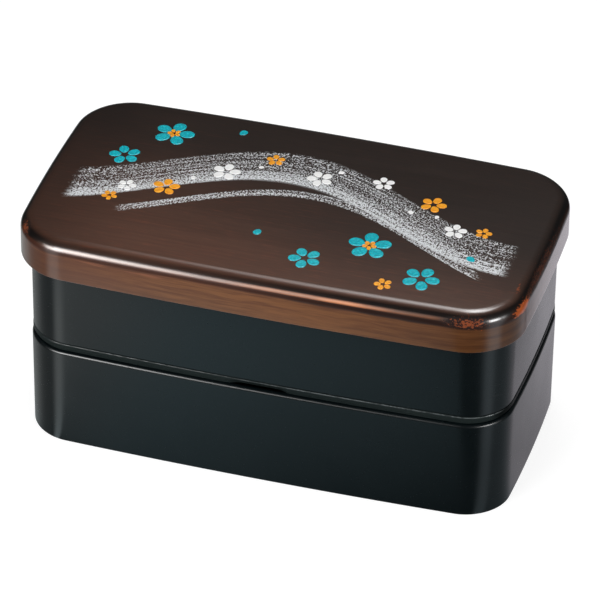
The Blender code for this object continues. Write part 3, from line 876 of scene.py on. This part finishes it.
upperCorner = trayPlan["corner"] - tray["upperInset"]
upperPlan = planOf("upper_tier", upperCorner, trayPlan["longBow"], trayPlan["shortBow"])
footBevel = tray["footBevel"]
footOuter = recessInset + footBevel + gap - tray["upperInset"]
upperProfile = trayWalls(upperBase, upperFoot + tray["footRecess"] + tray["floor"], upperRim)
upperProfile += [(footOuter - footBevel, upperBase), (footOuter, upperBase - footBevel)]
upperProfile += footRing(footOuter, upperFoot, starts=True)
makeTray("upperTray", upperPlan, upperProfile, "upper_tier")

# Inner lids and their silicone rings

innerLid = {
    "flangeInset": 0.0003, "flangeThickness": 0.0018, "edgeRound": 0.0004, "lowerRound": 0.0002,
    "seatSetback": 0.0009, "plugWall": 0.0025, "plugRound": 0.0004, "recessEdge": 0.0002,
    "panel": 0.0015, "panelSink": 0.0031, "panelRound": 0.0009,
    "notchWidth": 0.0256, "notchFlat": 0.0113, "notchDepth": 0.0017, "notchLip": 0.0002,
}
groove = {"drop": 0.0011, "height": 0.0022, "depth": 0.0010}
sealRing = {"edge": 0.0002, "shoulder": 0.0001, "shoulderDrop": 0.00008}
nearby = 0.0001     # how far off a point may be and still belong to the notch


def notchShare(x):
    # 1 in the middle of the finger notch, easing to 0 at its ends
    run = (innerLid["notchWidth"] - innerLid["notchFlat"]) / 2
    share = min(max((innerLid["notchWidth"] / 2 - abs(x)) / run, 0.0), 1.0)
    return share * share * (3 - 2 * share)


def makeInnerLid(name, node, plan, rim):
    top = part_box(node)[1].z
    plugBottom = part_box(node)[0].z
    flangeBottom = top - innerLid["flangeThickness"]
    panelTop = top - innerLid["panelSink"]
    seat = rim + gap
    edge, lowerEdge, plugEdge = innerLid["edgeRound"], innerLid["lowerRound"], innerLid["plugRound"]
    recessEdge = innerLid["recessEdge"]
    plugInner = plugInset + innerLid["plugWall"]
    step = innerLid["flangeInset"] + innerLid["seatSetback"]
    grooveTop = seat - groove["drop"]
    grooveBottom = grooveTop - groove["height"]
    outer = innerLid["flangeInset"]
    panelEdge = innerLid["panelRound"]
    profile = arc(plugInner + panelEdge, panelTop - innerLid["panel"] - panelEdge, panelEdge, 90, 0, 4)
    profile += arc(plugInner - plugEdge, plugBottom + plugEdge, plugEdge, 180, 270, 4)
    profile += arc(plugInset + plugEdge, plugBottom + plugEdge, plugEdge, 270, 360, 4)
    profile += [(plugInset, grooveBottom), (plugInset + groove["depth"], grooveBottom),
                (plugInset + groove["depth"], grooveTop), (plugInset, grooveTop), (plugInset, seat)]
    profile += [(step, seat), (step, flangeBottom)]
    profile += arc(outer + lowerEdge, flangeBottom + lowerEdge, lowerEdge, -90, 0, 4)
    profile += arc(outer + edge, top - edge, edge, 0, 90, 6)
    profile += arc(recessInset, top - recessEdge, recessEdge, 90, 180, 4)
    profile += arc(recessInset + recessEdge + panelEdge, panelTop + panelEdge, panelEdge, 0, -90, 4)
    shell, count = sweep(plan, profile, plastics["innerLid"])
    lift = innerLid["flangeThickness"] - innerLid["notchLip"] - lowerEdge
    half = plan["width"] / 2
    for vert in shell.verts:  # the finger notch in both long sides
        x, y, z = vert.co
        share = notchShare(x)
        depth = half - plan["longBow"] * (2 * x / plan["length"]) ** 2 - abs(y)
        inHeight = seat - nearby < z < flangeBottom + lowerEdge + nearby
        if share and inHeight and depth < step + nearby:
            if depth > step - 2 * nearby:
                vert.co.y -= math.copysign(innerLid["notchDepth"] * share, y)
            if z > flangeBottom - nearby / 2:
                vert.co.z += lift * share
    for index in (0, count - 1):
        closeMiddle(shell, loopAt(shell, count, index), plan)
    standFor(finishShell(name, shell, [plastics["innerLid"]]), node, node)


def makeSealRing(name, node, body, plan):
    low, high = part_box(node)
    middle = (low.z + high.z) / 2
    half = (high.z - low.z) / 2
    back = plugInset + groove["depth"] - gap
    lip = tray["wall"] + tray["draft"] + gap
    edge, drop = sealRing["edge"], sealRing["shoulderDrop"]
    inside, outside = plugInset + sealRing["shoulder"], plugInset - sealRing["shoulder"]
    profile = arc(back - edge, low.z + edge, edge, -90, -180, 3)
    profile += arc(back - edge, high.z - edge, edge, 180, 90, 3)
    profile += [(inside, high.z), (outside, high.z - drop)]
    profile += arc(lip + edge, middle, edge, 60, -60, 4)
    profile += [(outside, low.z + drop), (inside, low.z)]
    profile = [(inset, min(max(height, middle - half), middle + half)) for inset, height in profile]
    shell = sweep(plan, profile, sealMaterial, closed=True)[0]
    standFor(finishShell(name, shell, [sealMaterial]), node, body)


for tier, plan, rim in (("lower", lowerPlan, lowerRim), ("upper", upperPlan, upperRim)):
    makeInnerLid(tier + "InnerLid", tier + "_inner_lid", plan, rim)
    makeSealRing(tier + "SealRing", tier + "_seal_ring", tier + "_inner_lid", plan)

# Outer lid

outerLid = {
    "corner": 0.02018, "wall": 0.0022, "skirtRound": 0.0004, "edgeRound": 0.0050,
    "shoulderWidth": 0.0040, "shoulderTilt": 45.0, "crown": 0.0009, "crownTilt": 2.2,
    "sideOverhang": 0.00455, "ribWidth": 0.0012, "ribInset": 0.0035, "ribRound": 0.0003,
    "topRise": 0.00005,     # how far the crown's middle stands over the CAD box
}


def makeOuterLid():
    plan = planOf("outer_lid", outerLid["corner"], trayPlan["longBow"], trayPlan["shortBow"])
    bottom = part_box("outer_lid")[0].z
    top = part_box("outer_lid")[1].z - outerLid["crown"] + outerLid["topRise"]
    ceiling = top - outerLid["wall"]
    tilt = outerLid["shoulderTilt"]
    edge, wall, lip = outerLid["edgeRound"], outerLid["wall"], outerLid["skirtRound"]
    shoulder = outerLid["shoulderWidth"] / math.sin(math.radians(tilt))
    edgeInset = edge * (1 - math.sin(math.radians(tilt))) + outerLid["shoulderWidth"]
    shoulderDrop = shoulder * (1 - math.cos(math.radians(tilt)))
    edgeCentre = top - shoulderDrop - edge * math.cos(math.radians(tilt))
    ribOuter = outerLid["sideOverhang"] + outerLid["ribInset"]
    ribInner = ribOuter + outerLid["ribWidth"]
    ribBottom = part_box("upper_inner_lid")[1].z + gap
    ribEdge = outerLid["ribRound"]
    inside = [(ribInner + 2 * outerLid["ribWidth"], ceiling), (ribInner, ceiling)]
    inside += arc(ribInner - ribEdge, ribBottom + ribEdge, ribEdge, 180, 270, 4)
    inside += arc(ribOuter + ribEdge, ribBottom + ribEdge, ribEdge, 270, 360, 4)
    inside += [(ribOuter, ceiling)]
    inner = shoulder - wall
    inside += arc(wall + inner, ceiling - inner, inner, 90, 0, sweepQuality["largeArc"])
    inside += arc(wall - lip, bottom + lip, lip, 180, 270, 4)
    outside = arc(lip, bottom + lip, lip, 270, 360, 4)
    outside += arc(edge, edgeCentre, edge, 0, 90 - tilt, 2 * sweepQuality["largeArc"])
    outside += arc(edgeInset, top - shoulder, shoulder, 90 - tilt, 90 - outerLid["crownTilt"],
                   2 * sweepQuality["largeArc"])[1:]
    insideCount = len(supported(inside))
    shell, count = sweep(plan, inside + outside, lacquerMaterial)
    for face in shell.faces:  # the inside is plain satin, the outside is lacquered
        if max(vert.index % count for vert in face.verts) < insideCount:
            face.material_index = 1

    def crown(share):
        return outerLid["crown"] * (1 - (1 - share) ** 2)

    closeMiddle(shell, loopAt(shell, count, 0), plan, crown, slot=1)
    closeMiddle(shell, loopAt(shell, count, count - 1), plan, crown)
    piece = finishShell("outerLid", shell, [lacquerMaterial, plastics["lidInside"]])
    standFor(piece, "outer_lid", "outer_lid")
    return piece


lidPiece = makeOuterLid()

# Dividers

divider = {
    "thickness": 0.0012, "tab": 0.0100, "tabInset": 0.0002, "tabRound": 0.0005, "fillet": 0.0060,
    "topRound": 0.0040, "edgeRound": 0.0003, "steps": 12, "roundSteps": 3,
}


def makeDivider(name, node):
    low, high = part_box(node)
    x = (low.x + high.x) / 2
    half = (high.y - low.y) / 2
    fillet, topRound = divider["fillet"], divider["topRound"]
    angles = [math.pi / 2 * step / divider["steps"] for step in range(divider["steps"] + 1)]
    outline = [(half - fillet * (1 - math.sin(angle)), low.z + fillet * (1 - math.cos(angle)))
               for angle in angles]
    outline += [(half - topRound * (1 - math.cos(angle)), high.z - topRound * (1 - math.sin(angle)))
                for angle in angles]
    outline += [(-y, z) for y, z in reversed(outline)]
    web = bmesh.new()
    face = web.faces.new([web.verts.new((x - divider["thickness"] / 2, y, z)) for y, z in outline])
    swept = bmesh.ops.extrude_face_region(web, geom=[face])["geom"]
    moving = [item for item in swept if isinstance(item, bmesh.types.BMVert)]
    bmesh.ops.translate(web, verts=moving, vec=(divider["thickness"], 0.0, 0.0))
    piece = finishShell(name, web, [plastics["divider"]])
    tabLow, tabHigh = low.z + fillet, high.z - topRound
    tabs = []
    for side in (-1, 1):
        tab = bmesh.new()
        bmesh.ops.create_cube(tab, size=1.0)
        bmesh.ops.scale(tab, verts=tab.verts, vec=(divider["tab"], divider["thickness"], tabHigh - tabLow))
        centre = (x, side * (half - divider["tabInset"] - divider["thickness"] / 2), (tabLow + tabHigh) / 2)
        bmesh.ops.translate(tab, verts=tab.verts, vec=centre)
        upright = [edge for edge in tab.edges if abs(edge.verts[0].co.z - edge.verts[1].co.z) > 0.001]
        bmesh.ops.bevel(tab, geom=upright, offset=divider["tabRound"], segments=divider["roundSteps"],
                        affect="EDGES", profile=0.5)
        tabs.append(finishShell(name + "Tab", tab, [plastics["divider"]]))
        union = piece.modifiers.new("tab", "BOOLEAN")
        union.operation = "UNION"
        union.solver = "EXACT"
        union.object = tabs[-1]
    bevel = piece.modifiers.new("edges", "BEVEL")
    bevel.width = divider["edgeRound"]
    bevel.segments = divider["roundSteps"]
    bevel.limit_method = "ANGLE"
    bevel.angle_limit = sharpAngle
    joined = evaluatedMesh(piece)
    piece.modifiers.clear()
    piece.data = joined
    joined.shade_smooth()
    joined.set_sharp_from_angle(angle=sharpAngle)
    for tab in tabs:
        bpy.data.objects.remove(tab)
    standFor(piece, node, node)


makeDivider("lowerDivider", "lower_divider")
makeDivider("upperDivider", "upper_divider")

# Enamelled blossoms on the lid: x, y, radius, turn in degrees, petals, lift

blossoms = {
    "turquoise": (
        (-0.0560, 0.0300, 0.0078, 10, 5, 0.0), (-0.0690, 0.0110, 0.0060, 40, 5, 0.0),
        (0.0330, -0.0190, 0.0082, 25, 5, 0.0), (0.0560, -0.0330, 0.0070, 0, 5, 0.0),
        (0.0130, -0.0330, 0.0062, 50, 5, 0.0), (-0.0330, 0.0360, 0.0046, 65, 1, 0.0),
        (0.0720, -0.0180, 0.0048, 140, 1, 0.0), (-0.0070, -0.0200, 0.0046, 250, 1, 0.0),
    ),
    "orange": (
        (-0.0560, 0.0300, 0.0026, 46, 5, 0.00016), (0.0330, -0.0190, 0.0027, 61, 5, 0.00016),
        (-0.0480, -0.0050, 0.0052, 20, 5, 0.0), (0.0480, 0.0130, 0.0050, 5, 5, 0.0),
        (-0.0150, 0.0240, 0.0036, 30, 5, 0.0), (0.0700, 0.0010, 0.0032, 12, 5, 0.0),
        (0.0440, -0.0400, 0.0034, 45, 5, 0.0), (-0.0660, -0.0160, 0.0030, 60, 5, 0.0),
    ),
    "white": (
        (-0.0300, 0.0110, 0.0054, 15, 5, 0.0), (0.0040, 0.0170, 0.0050, 48, 5, 0.0),
        (0.0270, 0.0210, 0.0042, 33, 5, 0.0), (0.0600, -0.0010, 0.0044, 22, 5, 0.0),
        (-0.0620, -0.0080, 0.0036, 5, 5, 0.0), (0.0120, 0.0240, 0.0030, 200, 1, 0.0),
        (0.0400, 0.0070, 0.0030, 320, 1, 0.0), (-0.0400, 0.0020, 0.0028, 100, 1, 0.0),
        (-0.0200, 0.0170, 0.0026, 30, 1, 0.0), (0.0510, 0.0040, 0.0026, 80, 1, 0.0),
    ),
}
petal = {
    "reach": 0.60, "halfLength": 0.385, "halfWidth": 0.345, "narrowing": 0.12, "height": 0.00022,
    "segments": 16, "middle": 0.66,
    "rings": ((1.00, -0.5), (1.00, 0.15), (0.95, 0.75), (0.86, 1.0), (0.66, 0.86), (0.38, 0.72)),
}


def makePetalMesh():
    # One petal of radius 1 pointing along X: a raised rim round a slightly sunk middle
    flower = bmesh.new()
    loops = []
    for size, height in petal["rings"]:
        loop = []
        for step in range(petal["segments"]):
            angle = 2 * math.pi * step / petal["segments"]
            narrow = 1 - petal["narrowing"] * (1 - math.cos(angle))
            x = petal["reach"] + petal["halfLength"] * size * math.cos(angle)
            y = petal["halfWidth"] * size * narrow * math.sin(angle)
            loop.append(flower.verts.new((x, y, height)))
        loops.append(loop)
    for lower, upper in zip(loops, loops[1:]):
        bridge(flower, lower, upper)
    flower.faces.new(loops[0])
    middle = flower.verts.new((petal["reach"], 0.0, petal["middle"]))
    for index, corner in enumerate(loops[-1]):
        flower.faces.new((corner, loops[-1][(index + 1) % len(loops[-1])], middle))
    bmesh.ops.recalc_face_normals(flower, faces=flower.faces)
    mesh = bpy.data.meshes.new("petal")
    flower.to_mesh(mesh)
    flower.free()
    mesh.shade_smooth()
    return mesh


def makeBlossomTree():
    # Each point carries a blossom's size, turn and petal count; its petals are copies round it
    inputs = [("Points", geometry, None), ("Petal", "NodeSocketObject", None), ("Height", number, 0.0002),
              ("Material", "NodeSocketMaterial", None)]
    tree, ends, out = newGroup("blossoms", "GeometryNodeTree", inputs, [("Blossoms", geometry)])

    def stored(name, dataType="FLOAT"):
        return put(tree, "GeometryNodeInputNamedAttribute", {"Name": name}, data_type=dataType).outputs[0]

    copies = put(tree, "GeometryNodeDuplicateElements",
                 {"Geometry": ends.outputs["Points"], "Amount": stored("petals", "INT")}, domain="POINT")
    turn = timesPlus(tree, copies.outputs["Duplicate Index"], 2 * math.pi / 5, stored("turn"))
    rotation = put(tree, "FunctionNodeEulerToRotation", {
        0: put(tree, "ShaderNodeCombineXYZ", {"Z": turn}).outputs[0]})
    size = stored("size")
    scale = put(tree, "ShaderNodeCombineXYZ", {"X": size, "Y": size, "Z": ends.outputs["Height"]})
    source = put(tree, "GeometryNodeObjectInfo", {"Object": ends.outputs["Petal"]})
    placed = put(tree, "GeometryNodeInstanceOnPoints", {
        "Points": copies.outputs["Geometry"], "Instance": source.outputs["Geometry"],
        "Rotation": rotation.outputs[0], "Scale": scale.outputs[0]})
    solid = put(tree, "GeometryNodeRealizeInstances", {"Geometry": placed.outputs[0]})
    finished = put(tree, "GeometryNodeSetMaterial",
                   {"Geometry": solid.outputs[0], "Material": ends.outputs["Material"]})
    tree.links.new(finished.outputs[0], out.inputs[0])
    return tree


def makeBlossoms():
    source = newObject("petal", makePetalMesh())
    tree = makeBlossomTree()
    lidSurface = BVHTree.FromObject(lidPiece, bpy.context.evaluated_depsgraph_get())
    for colour, rows in blossoms.items():
        mesh = bpy.data.meshes.new("points")
        mesh.from_pydata([(row[0], row[1], row[5]) for row in rows], [], [])
        for name, column, kind in (("size", 2, "FLOAT"), ("turn", 3, "FLOAT"), ("petals", 4, "INT")):
            values = [math.radians(row[column]) if name == "turn" else row[column] for row in rows]
            mesh.attributes.new(name, kind, "POINT").data.foreach_set("value", values)
        host = newObject("points", mesh)
        flowers = applyTree(host, tree, {
            "Petal": source, "Height": petal["height"], "Material": enamels[colour],
        })
        bpy.data.objects.remove(host)
        for vert in flowers.vertices:  # laid on the crown of the lid
            hit = lidSurface.ray_cast(Vector((vert.co.x, vert.co.y, 1.0)), Vector((0.0, 0.0, -1.0)))[0]
            vert.co.z += hit.z
        flowers.shade_smooth()
        piece = newObject(colour + "Blossoms", flowers)
        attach(piece, "outer_lid")
        print(piece.name, "made:", len(flowers.polygons), "faces")
    bpy.data.objects.remove(source)


makeBlossoms()

# Camera: direction and distance from the photograph's own perspective

view = {
    "azimuth": 16.125, "elevation": 35.056, "roll": 0.803, "distance": 1.93257,
    "target": (-0.00088, 0.00957, 0.04193), "lens": 313.84, "sensor": 36.0, "clip": (0.05, 50.0),
}


def makeCamera():
    azimuth, elevation, roll = (math.radians(view[key]) for key in ("azimuth", "elevation", "roll"))
    back = Vector((math.sin(azimuth) * math.cos(elevation), -math.cos(azimuth) * math.cos(elevation),
                   math.sin(elevation)))
    right = Vector((math.cos(azimuth), math.sin(azimuth), 0.0))
    up = back.cross(right)
    across = right * math.cos(roll) + up * math.sin(roll)
    upward = up * math.cos(roll) - right * math.sin(roll)
    data = bpy.data.cameras.new("camera")
    data.lens = view["lens"]
    data.sensor_width = view["sensor"]
    data.clip_start, data.clip_end = view["clip"]
    camera = newObject("camera", data)
    turned = Matrix((across, upward, back)).transposed().to_4x4()
    camera.matrix_world = Matrix.Translation(Vector(view["target"]) + back * view["distance"]) @ turned
    bpy.context.scene.camera = camera


makeCamera()

# Soft boxes: place, the point they face, size and brightness. "soft" is where each starts to fade
# across its width and its height (0 the middle, 0.5 the edge). "shade" changes the brightness from
# the first level to the second between two places along X. Those that do not light are only seen
# in the gloss

softBoxes = {
    "key": {
        "place": (-0.200, -0.500, 0.290), "facing": (-0.020, -0.047, 0.087), "width": 0.40, "height": 0.34,
        "soft": (0.30, 0.10), "power": 4.0, "shade": (-0.222, -0.110, 1.0, 0.28)},
    "frontFill": {
        "place": (-0.300, -1.000, 1.050), "facing": (0.0, 0.0, 0.05), "width": 0.30, "height": 0.30,
        "soft": (0.30, 0.30), "power": 3.2, "mirrored": False},
    "overhead": {
        "place": (-0.066, 0.277, 0.753), "facing": (-0.006, -0.013, 0.078), "width": 0.38, "height": 0.64,
        "soft": (0.30, 0.00), "power": 4.6, "shade": (-0.190, -0.010, 0.30, 1.0)},
    "rightFill": {
        "place": (0.578, -0.318, 0.220), "facing": (0.085, -0.045, 0.087), "width": 0.34, "height": 0.24,
        "soft": (0.10, 0.10), "power": 5.0},
    "keyEnd": {
        "place": (-0.369, -0.470, 0.207), "facing": (-0.189, -0.017, 0.004), "width": 0.48, "height": 0.34,
        "soft": (0.10, 0.10), "power": 6.8, "lights": False},
    "rightEnd": {
        "place": (0.578, -0.318, 0.220), "facing": (0.085, -0.045, 0.087), "width": 0.60, "height": 0.30,
        "soft": (0.05, 0.05), "power": 6.6, "lights": False},
    "overheadEnd": {
        "place": (0.120, 0.214, 0.796), "facing": (0.180, -0.076, 0.121), "width": 0.34, "height": 0.50,
        "soft": (0.10, 0.00), "power": 5.6, "lights": False},
}


def makeSoftBox(name, box):
    data = bpy.data.lights.new(name, "AREA")
    data.shape = "RECTANGLE"
    data.size = box["width"]
    data.size_y = box["height"]
    data.energy = box["power"]
    data.use_nodes = True
    tree = data.node_tree
    surface = tree.nodes.new("ShaderNodeNewGeometry")
    level = 1.0
    for spot, soft in zip(axes(tree, surface.outputs["Parametric"]), box["soft"]):
        level = times(tree, ramp(tree, offFrom(tree, spot, 0.5), 0.5, soft), level)
    if "shade" in box:
        x = axes(tree, surface.outputs["Position"])[0]
        level = times(tree, level, ramp(tree, x, *box["shade"]))
    tree.links.new(level, tree.nodes["Emission"].inputs["Strength"])
    lamp = newObject(name, data)
    lamp.visible_glossy = box.get("mirrored", True)
    lamp.visible_diffuse = box.get("lights", True)
    place = Vector(box["place"])
    outward = place - Vector(box["facing"])
    lamp.matrix_world = Matrix.Translation(place) @ outward.to_track_quat("Z", "Y").to_matrix().to_4x4()


for name, box in softBoxes.items():
    makeSoftBox(name, box)

# Pale floor: it shows white and keeps a faint shadow. In reflections it is dark but for a few sheets of
# painted light glowing in its emission, and diffuse rays see a painted bounce glow. The sheets' limits lie
# along X, along Y, along both or in degrees round a front corner: from one place to another and, where they
# aren't 0 and 1, the levels there

floor = {
    "half": 3.0, "drop": 0.00005, "albedo": 0.36, "glossyAlbedo": 0.02, "shown": 0.79, "bounce": 0.30,
    "reflected": 0.01,
    "leftTint": (0.94, 1.00, 1.00), "frontTint": (0.68, 0.97, 1.07), "cornerTint": (0.86, 1.00, 1.08),
    "rightTint": (1.04, 1.00, 1.08),
    "toFrontTint": (-0.11, -0.04), "toCornerTint": (0.06, 0.10), "toRightTint": (105.0, 145.0),
    "front": {
        "x": -0.075, "y": -0.050, "slope": 0.39, "level": 0.77, "most": 0.72, "fall": 2.7, "near": 4.0,
        "nearStart": 0.137, "across": (0.182, 0.160), "turn": (25.0, 16.0), "start": (-0.040, -0.050),
        "stop": (-0.250, -0.190), "dimmed": (-0.165, -0.148, 0.40, 1.0)},
    "left": {
        "x": -0.0755, "y": -0.042, "level": 1.38, "stripStart": (18.0, 29.0), "stripEnd": (59.0, 40.0),
        "stripFar": (-0.290, -0.265, 0.6, 1.0), "restStart": (50.0, 64.0), "rest": (82.0, 110.0, 0.20, 0.42),
        "restFar": (-0.300, -0.200)},
    "right": {
        "x": 0.0755, "y": -0.040,
        "stripTurn": 66.0, "strip": (22.0, 4.0), "stripLevel": (0.10, 0.16, 0.42, 0.68),
        "wall": (0.0, 0.09, 0.38, 0.70), "wallFar": (0.1240, 0.1275),
        "wallFarLevel": (0.078, 0.104, 0.08, 0.46),
        "side": (100.0, 150.0, 0.16, 0.40), "toWall": (135.0, 158.0), "turn": (66.0, 84.0),
        "far": (0.27, 0.20), "near": (0.07, 0.09), "back": (0.25, 0.17)},
}


def turnFrom(tree, x, y, centre, side):
    # Degrees from straight ahead (-Y) round to the given side, seen from the centre
    across = times(tree, calc(tree, "SUBTRACT", x, centre["x"]), side)
    ahead = calc(tree, "SUBTRACT", centre["y"], y)
    return times(tree, calc(tree, "ARCTAN2", across, ahead), 180 / math.pi)


def glowingFloorSheets(tree, coordinates):
    # Painted light: brightness and tint of the glowing sheets that the lid and the trays see in the floor at
    # each place
    x, y = axes(tree, coordinates)[:2]
    front, left, right = (floor[key] for key in ("front", "left", "right"))
    toLeft = turnFrom(tree, x, y, left, -1.0)
    toRight = turnFrom(tree, x, y, right, 1.0)

    # In front: fades towards the right
    forward = times(tree, calc(tree, "SUBTRACT", y, front["y"]), front["slope"])
    across = calc(tree, "SUBTRACT", calc(tree, "SUBTRACT", x, front["x"]), forward)
    sheet = calc(tree, "MINIMUM", timesPlus(tree, across, -front["fall"], front["level"]), front["most"])
    near = calc(tree, "MAXIMUM", calc(tree, "ADD", y, front["nearStart"]), 0.0)
    sheet = calc(tree, "MAXIMUM", timesPlus(tree, near, -front["near"], sheet), 0.0)
    for value, key in ((across, "across"), (toLeft, "turn"), (y, "start"), (y, "stop"), (y, "dimmed")):
        sheet = times(tree, sheet, ramp(tree, value, *front[key]))

    # Round the left corner: a bright strip, then a dim rest
    strip = times(tree, ramp(tree, toLeft, *left["stripStart"]), ramp(tree, toLeft, *left["stripEnd"]),
                  ramp(tree, calc(tree, "ADD", x, y), *left["stripFar"]))
    seen = timesPlus(tree, strip, left["level"], sheet)
    rest = times(tree, ramp(tree, toLeft, *left["rest"]), ramp(tree, x, *left["restFar"]))
    seen = timesPlus(tree, ramp(tree, toLeft, *left["restStart"]), rest, seen)

    # Round the right corner: a soft strip, a dim gap and a brighter sheet along the side
    level = ramp(tree, x, *right["stripLevel"])
    strip = ramp(tree, offFrom(tree, toRight, right["stripTurn"]), *right["strip"], 0.0, level)
    level = ramp(tree, y, *right["wallFarLevel"])
    farther = ramp(tree, x, *right["wallFar"], 1.0, level)
    wall = times(tree, ramp(tree, y, *right["wall"], smooth=False), farther)
    side = ramp(tree, toRight, *right["side"])
    side = timesPlus(tree, calc(tree, "SUBTRACT", wall, side), ramp(tree, toRight, *right["toWall"]), side)
    for value, key in ((toRight, "turn"), (x, "far"), (x, "near"), (y, "back")):
        side = times(tree, side, ramp(tree, value, *right[key]))
    seen = calc(tree, "ADD", seen, calc(tree, "MAXIMUM", strip, side))

    tint = floor["leftTint"]
    for value, key, following in ((x, "toFrontTint", "frontTint"), (x, "toCornerTint", "cornerTint"),
                                  (toRight, "toRightTint", "rightTint")):
        tint = blendColour(tree, ramp(tree, value, *floor[key]), tint, floor[following])
    return calc(tree, "ADD", seen, floor["reflected"]), tint


def rayLevels(tree, straight, glossy, diffuse):
    # Brightness for each kind of ray, and where a ray is a glossy one
    rays = tree.nodes.new("ShaderNodeLightPath").outputs
    level = calc(tree, "ADD", rays["Is Camera Ray"], rays["Is Transmission Ray"], clamp=True)
    level = times(tree, level, straight)
    for ray, brightness in (("Is Glossy Ray", glossy), ("Is Diffuse Ray", diffuse)):
        level = timesPlus(tree, rays[ray], brightness, level)
    return level, rays["Is Glossy Ray"]


def makeFloor():
    mesh = bpy.data.meshes.new("floor")
    half = floor["half"]
    mesh.from_pydata([(-half, -half, 0.0), (half, -half, 0.0), (half, half, 0.0), (-half, half, 0.0)], [],
                     [(0, 1, 2, 3)])
    piece = newObject("floor", mesh)
    piece.location.z = -floor["drop"]
    material = bpy.data.materials.new("floor")
    material.use_nodes = True
    tree = material.node_tree
    tree.nodes.clear()
    seen, tint = glowingFloorSheets(tree, tree.nodes.new("ShaderNodeTexCoord").outputs["Object"])
    level, inGloss = rayLevels(tree, floor["shown"], seen, floor["bounce"])
    hue = blendColour(tree, inGloss, (1.0, 1.0, 1.0), tint)
    glow = put(tree, "ShaderNodeEmission", {"Color": hue, "Strength": level})
    albedo = timesPlus(tree, inGloss, floor["glossyAlbedo"] - floor["albedo"], floor["albedo"])
    lit = put(tree, "ShaderNodeBsdfDiffuse", {"Color": greyOf(tree, albedo)})
    both = put(tree, "ShaderNodeAddShader", {0: glow.outputs[0], 1: lit.outputs[0]})
    put(tree, "ShaderNodeOutputMaterial", {"Surface": both.outputs[0]})
    mesh.materials.append(material)


makeFloor()

world = {"shown": 1.0, "ambient": 0.50, "reflected": 0.05}


def makeWorld():
    background = bpy.data.worlds.new("studio")
    bpy.context.scene.world = background
    background.use_nodes = True
    tree = background.node_tree
    tree.nodes.clear()
    level = rayLevels(tree, world["shown"], world["reflected"], world["ambient"])[0]
    shown = put(tree, "ShaderNodeBackground", {"Strength": level})
    put(tree, "ShaderNodeOutputWorld", {"Surface": shown.outputs[0]})


makeWorld()
bpy.context.scene.view_settings.view_transform = "Standard"
print("camera, lights, floor and world made")
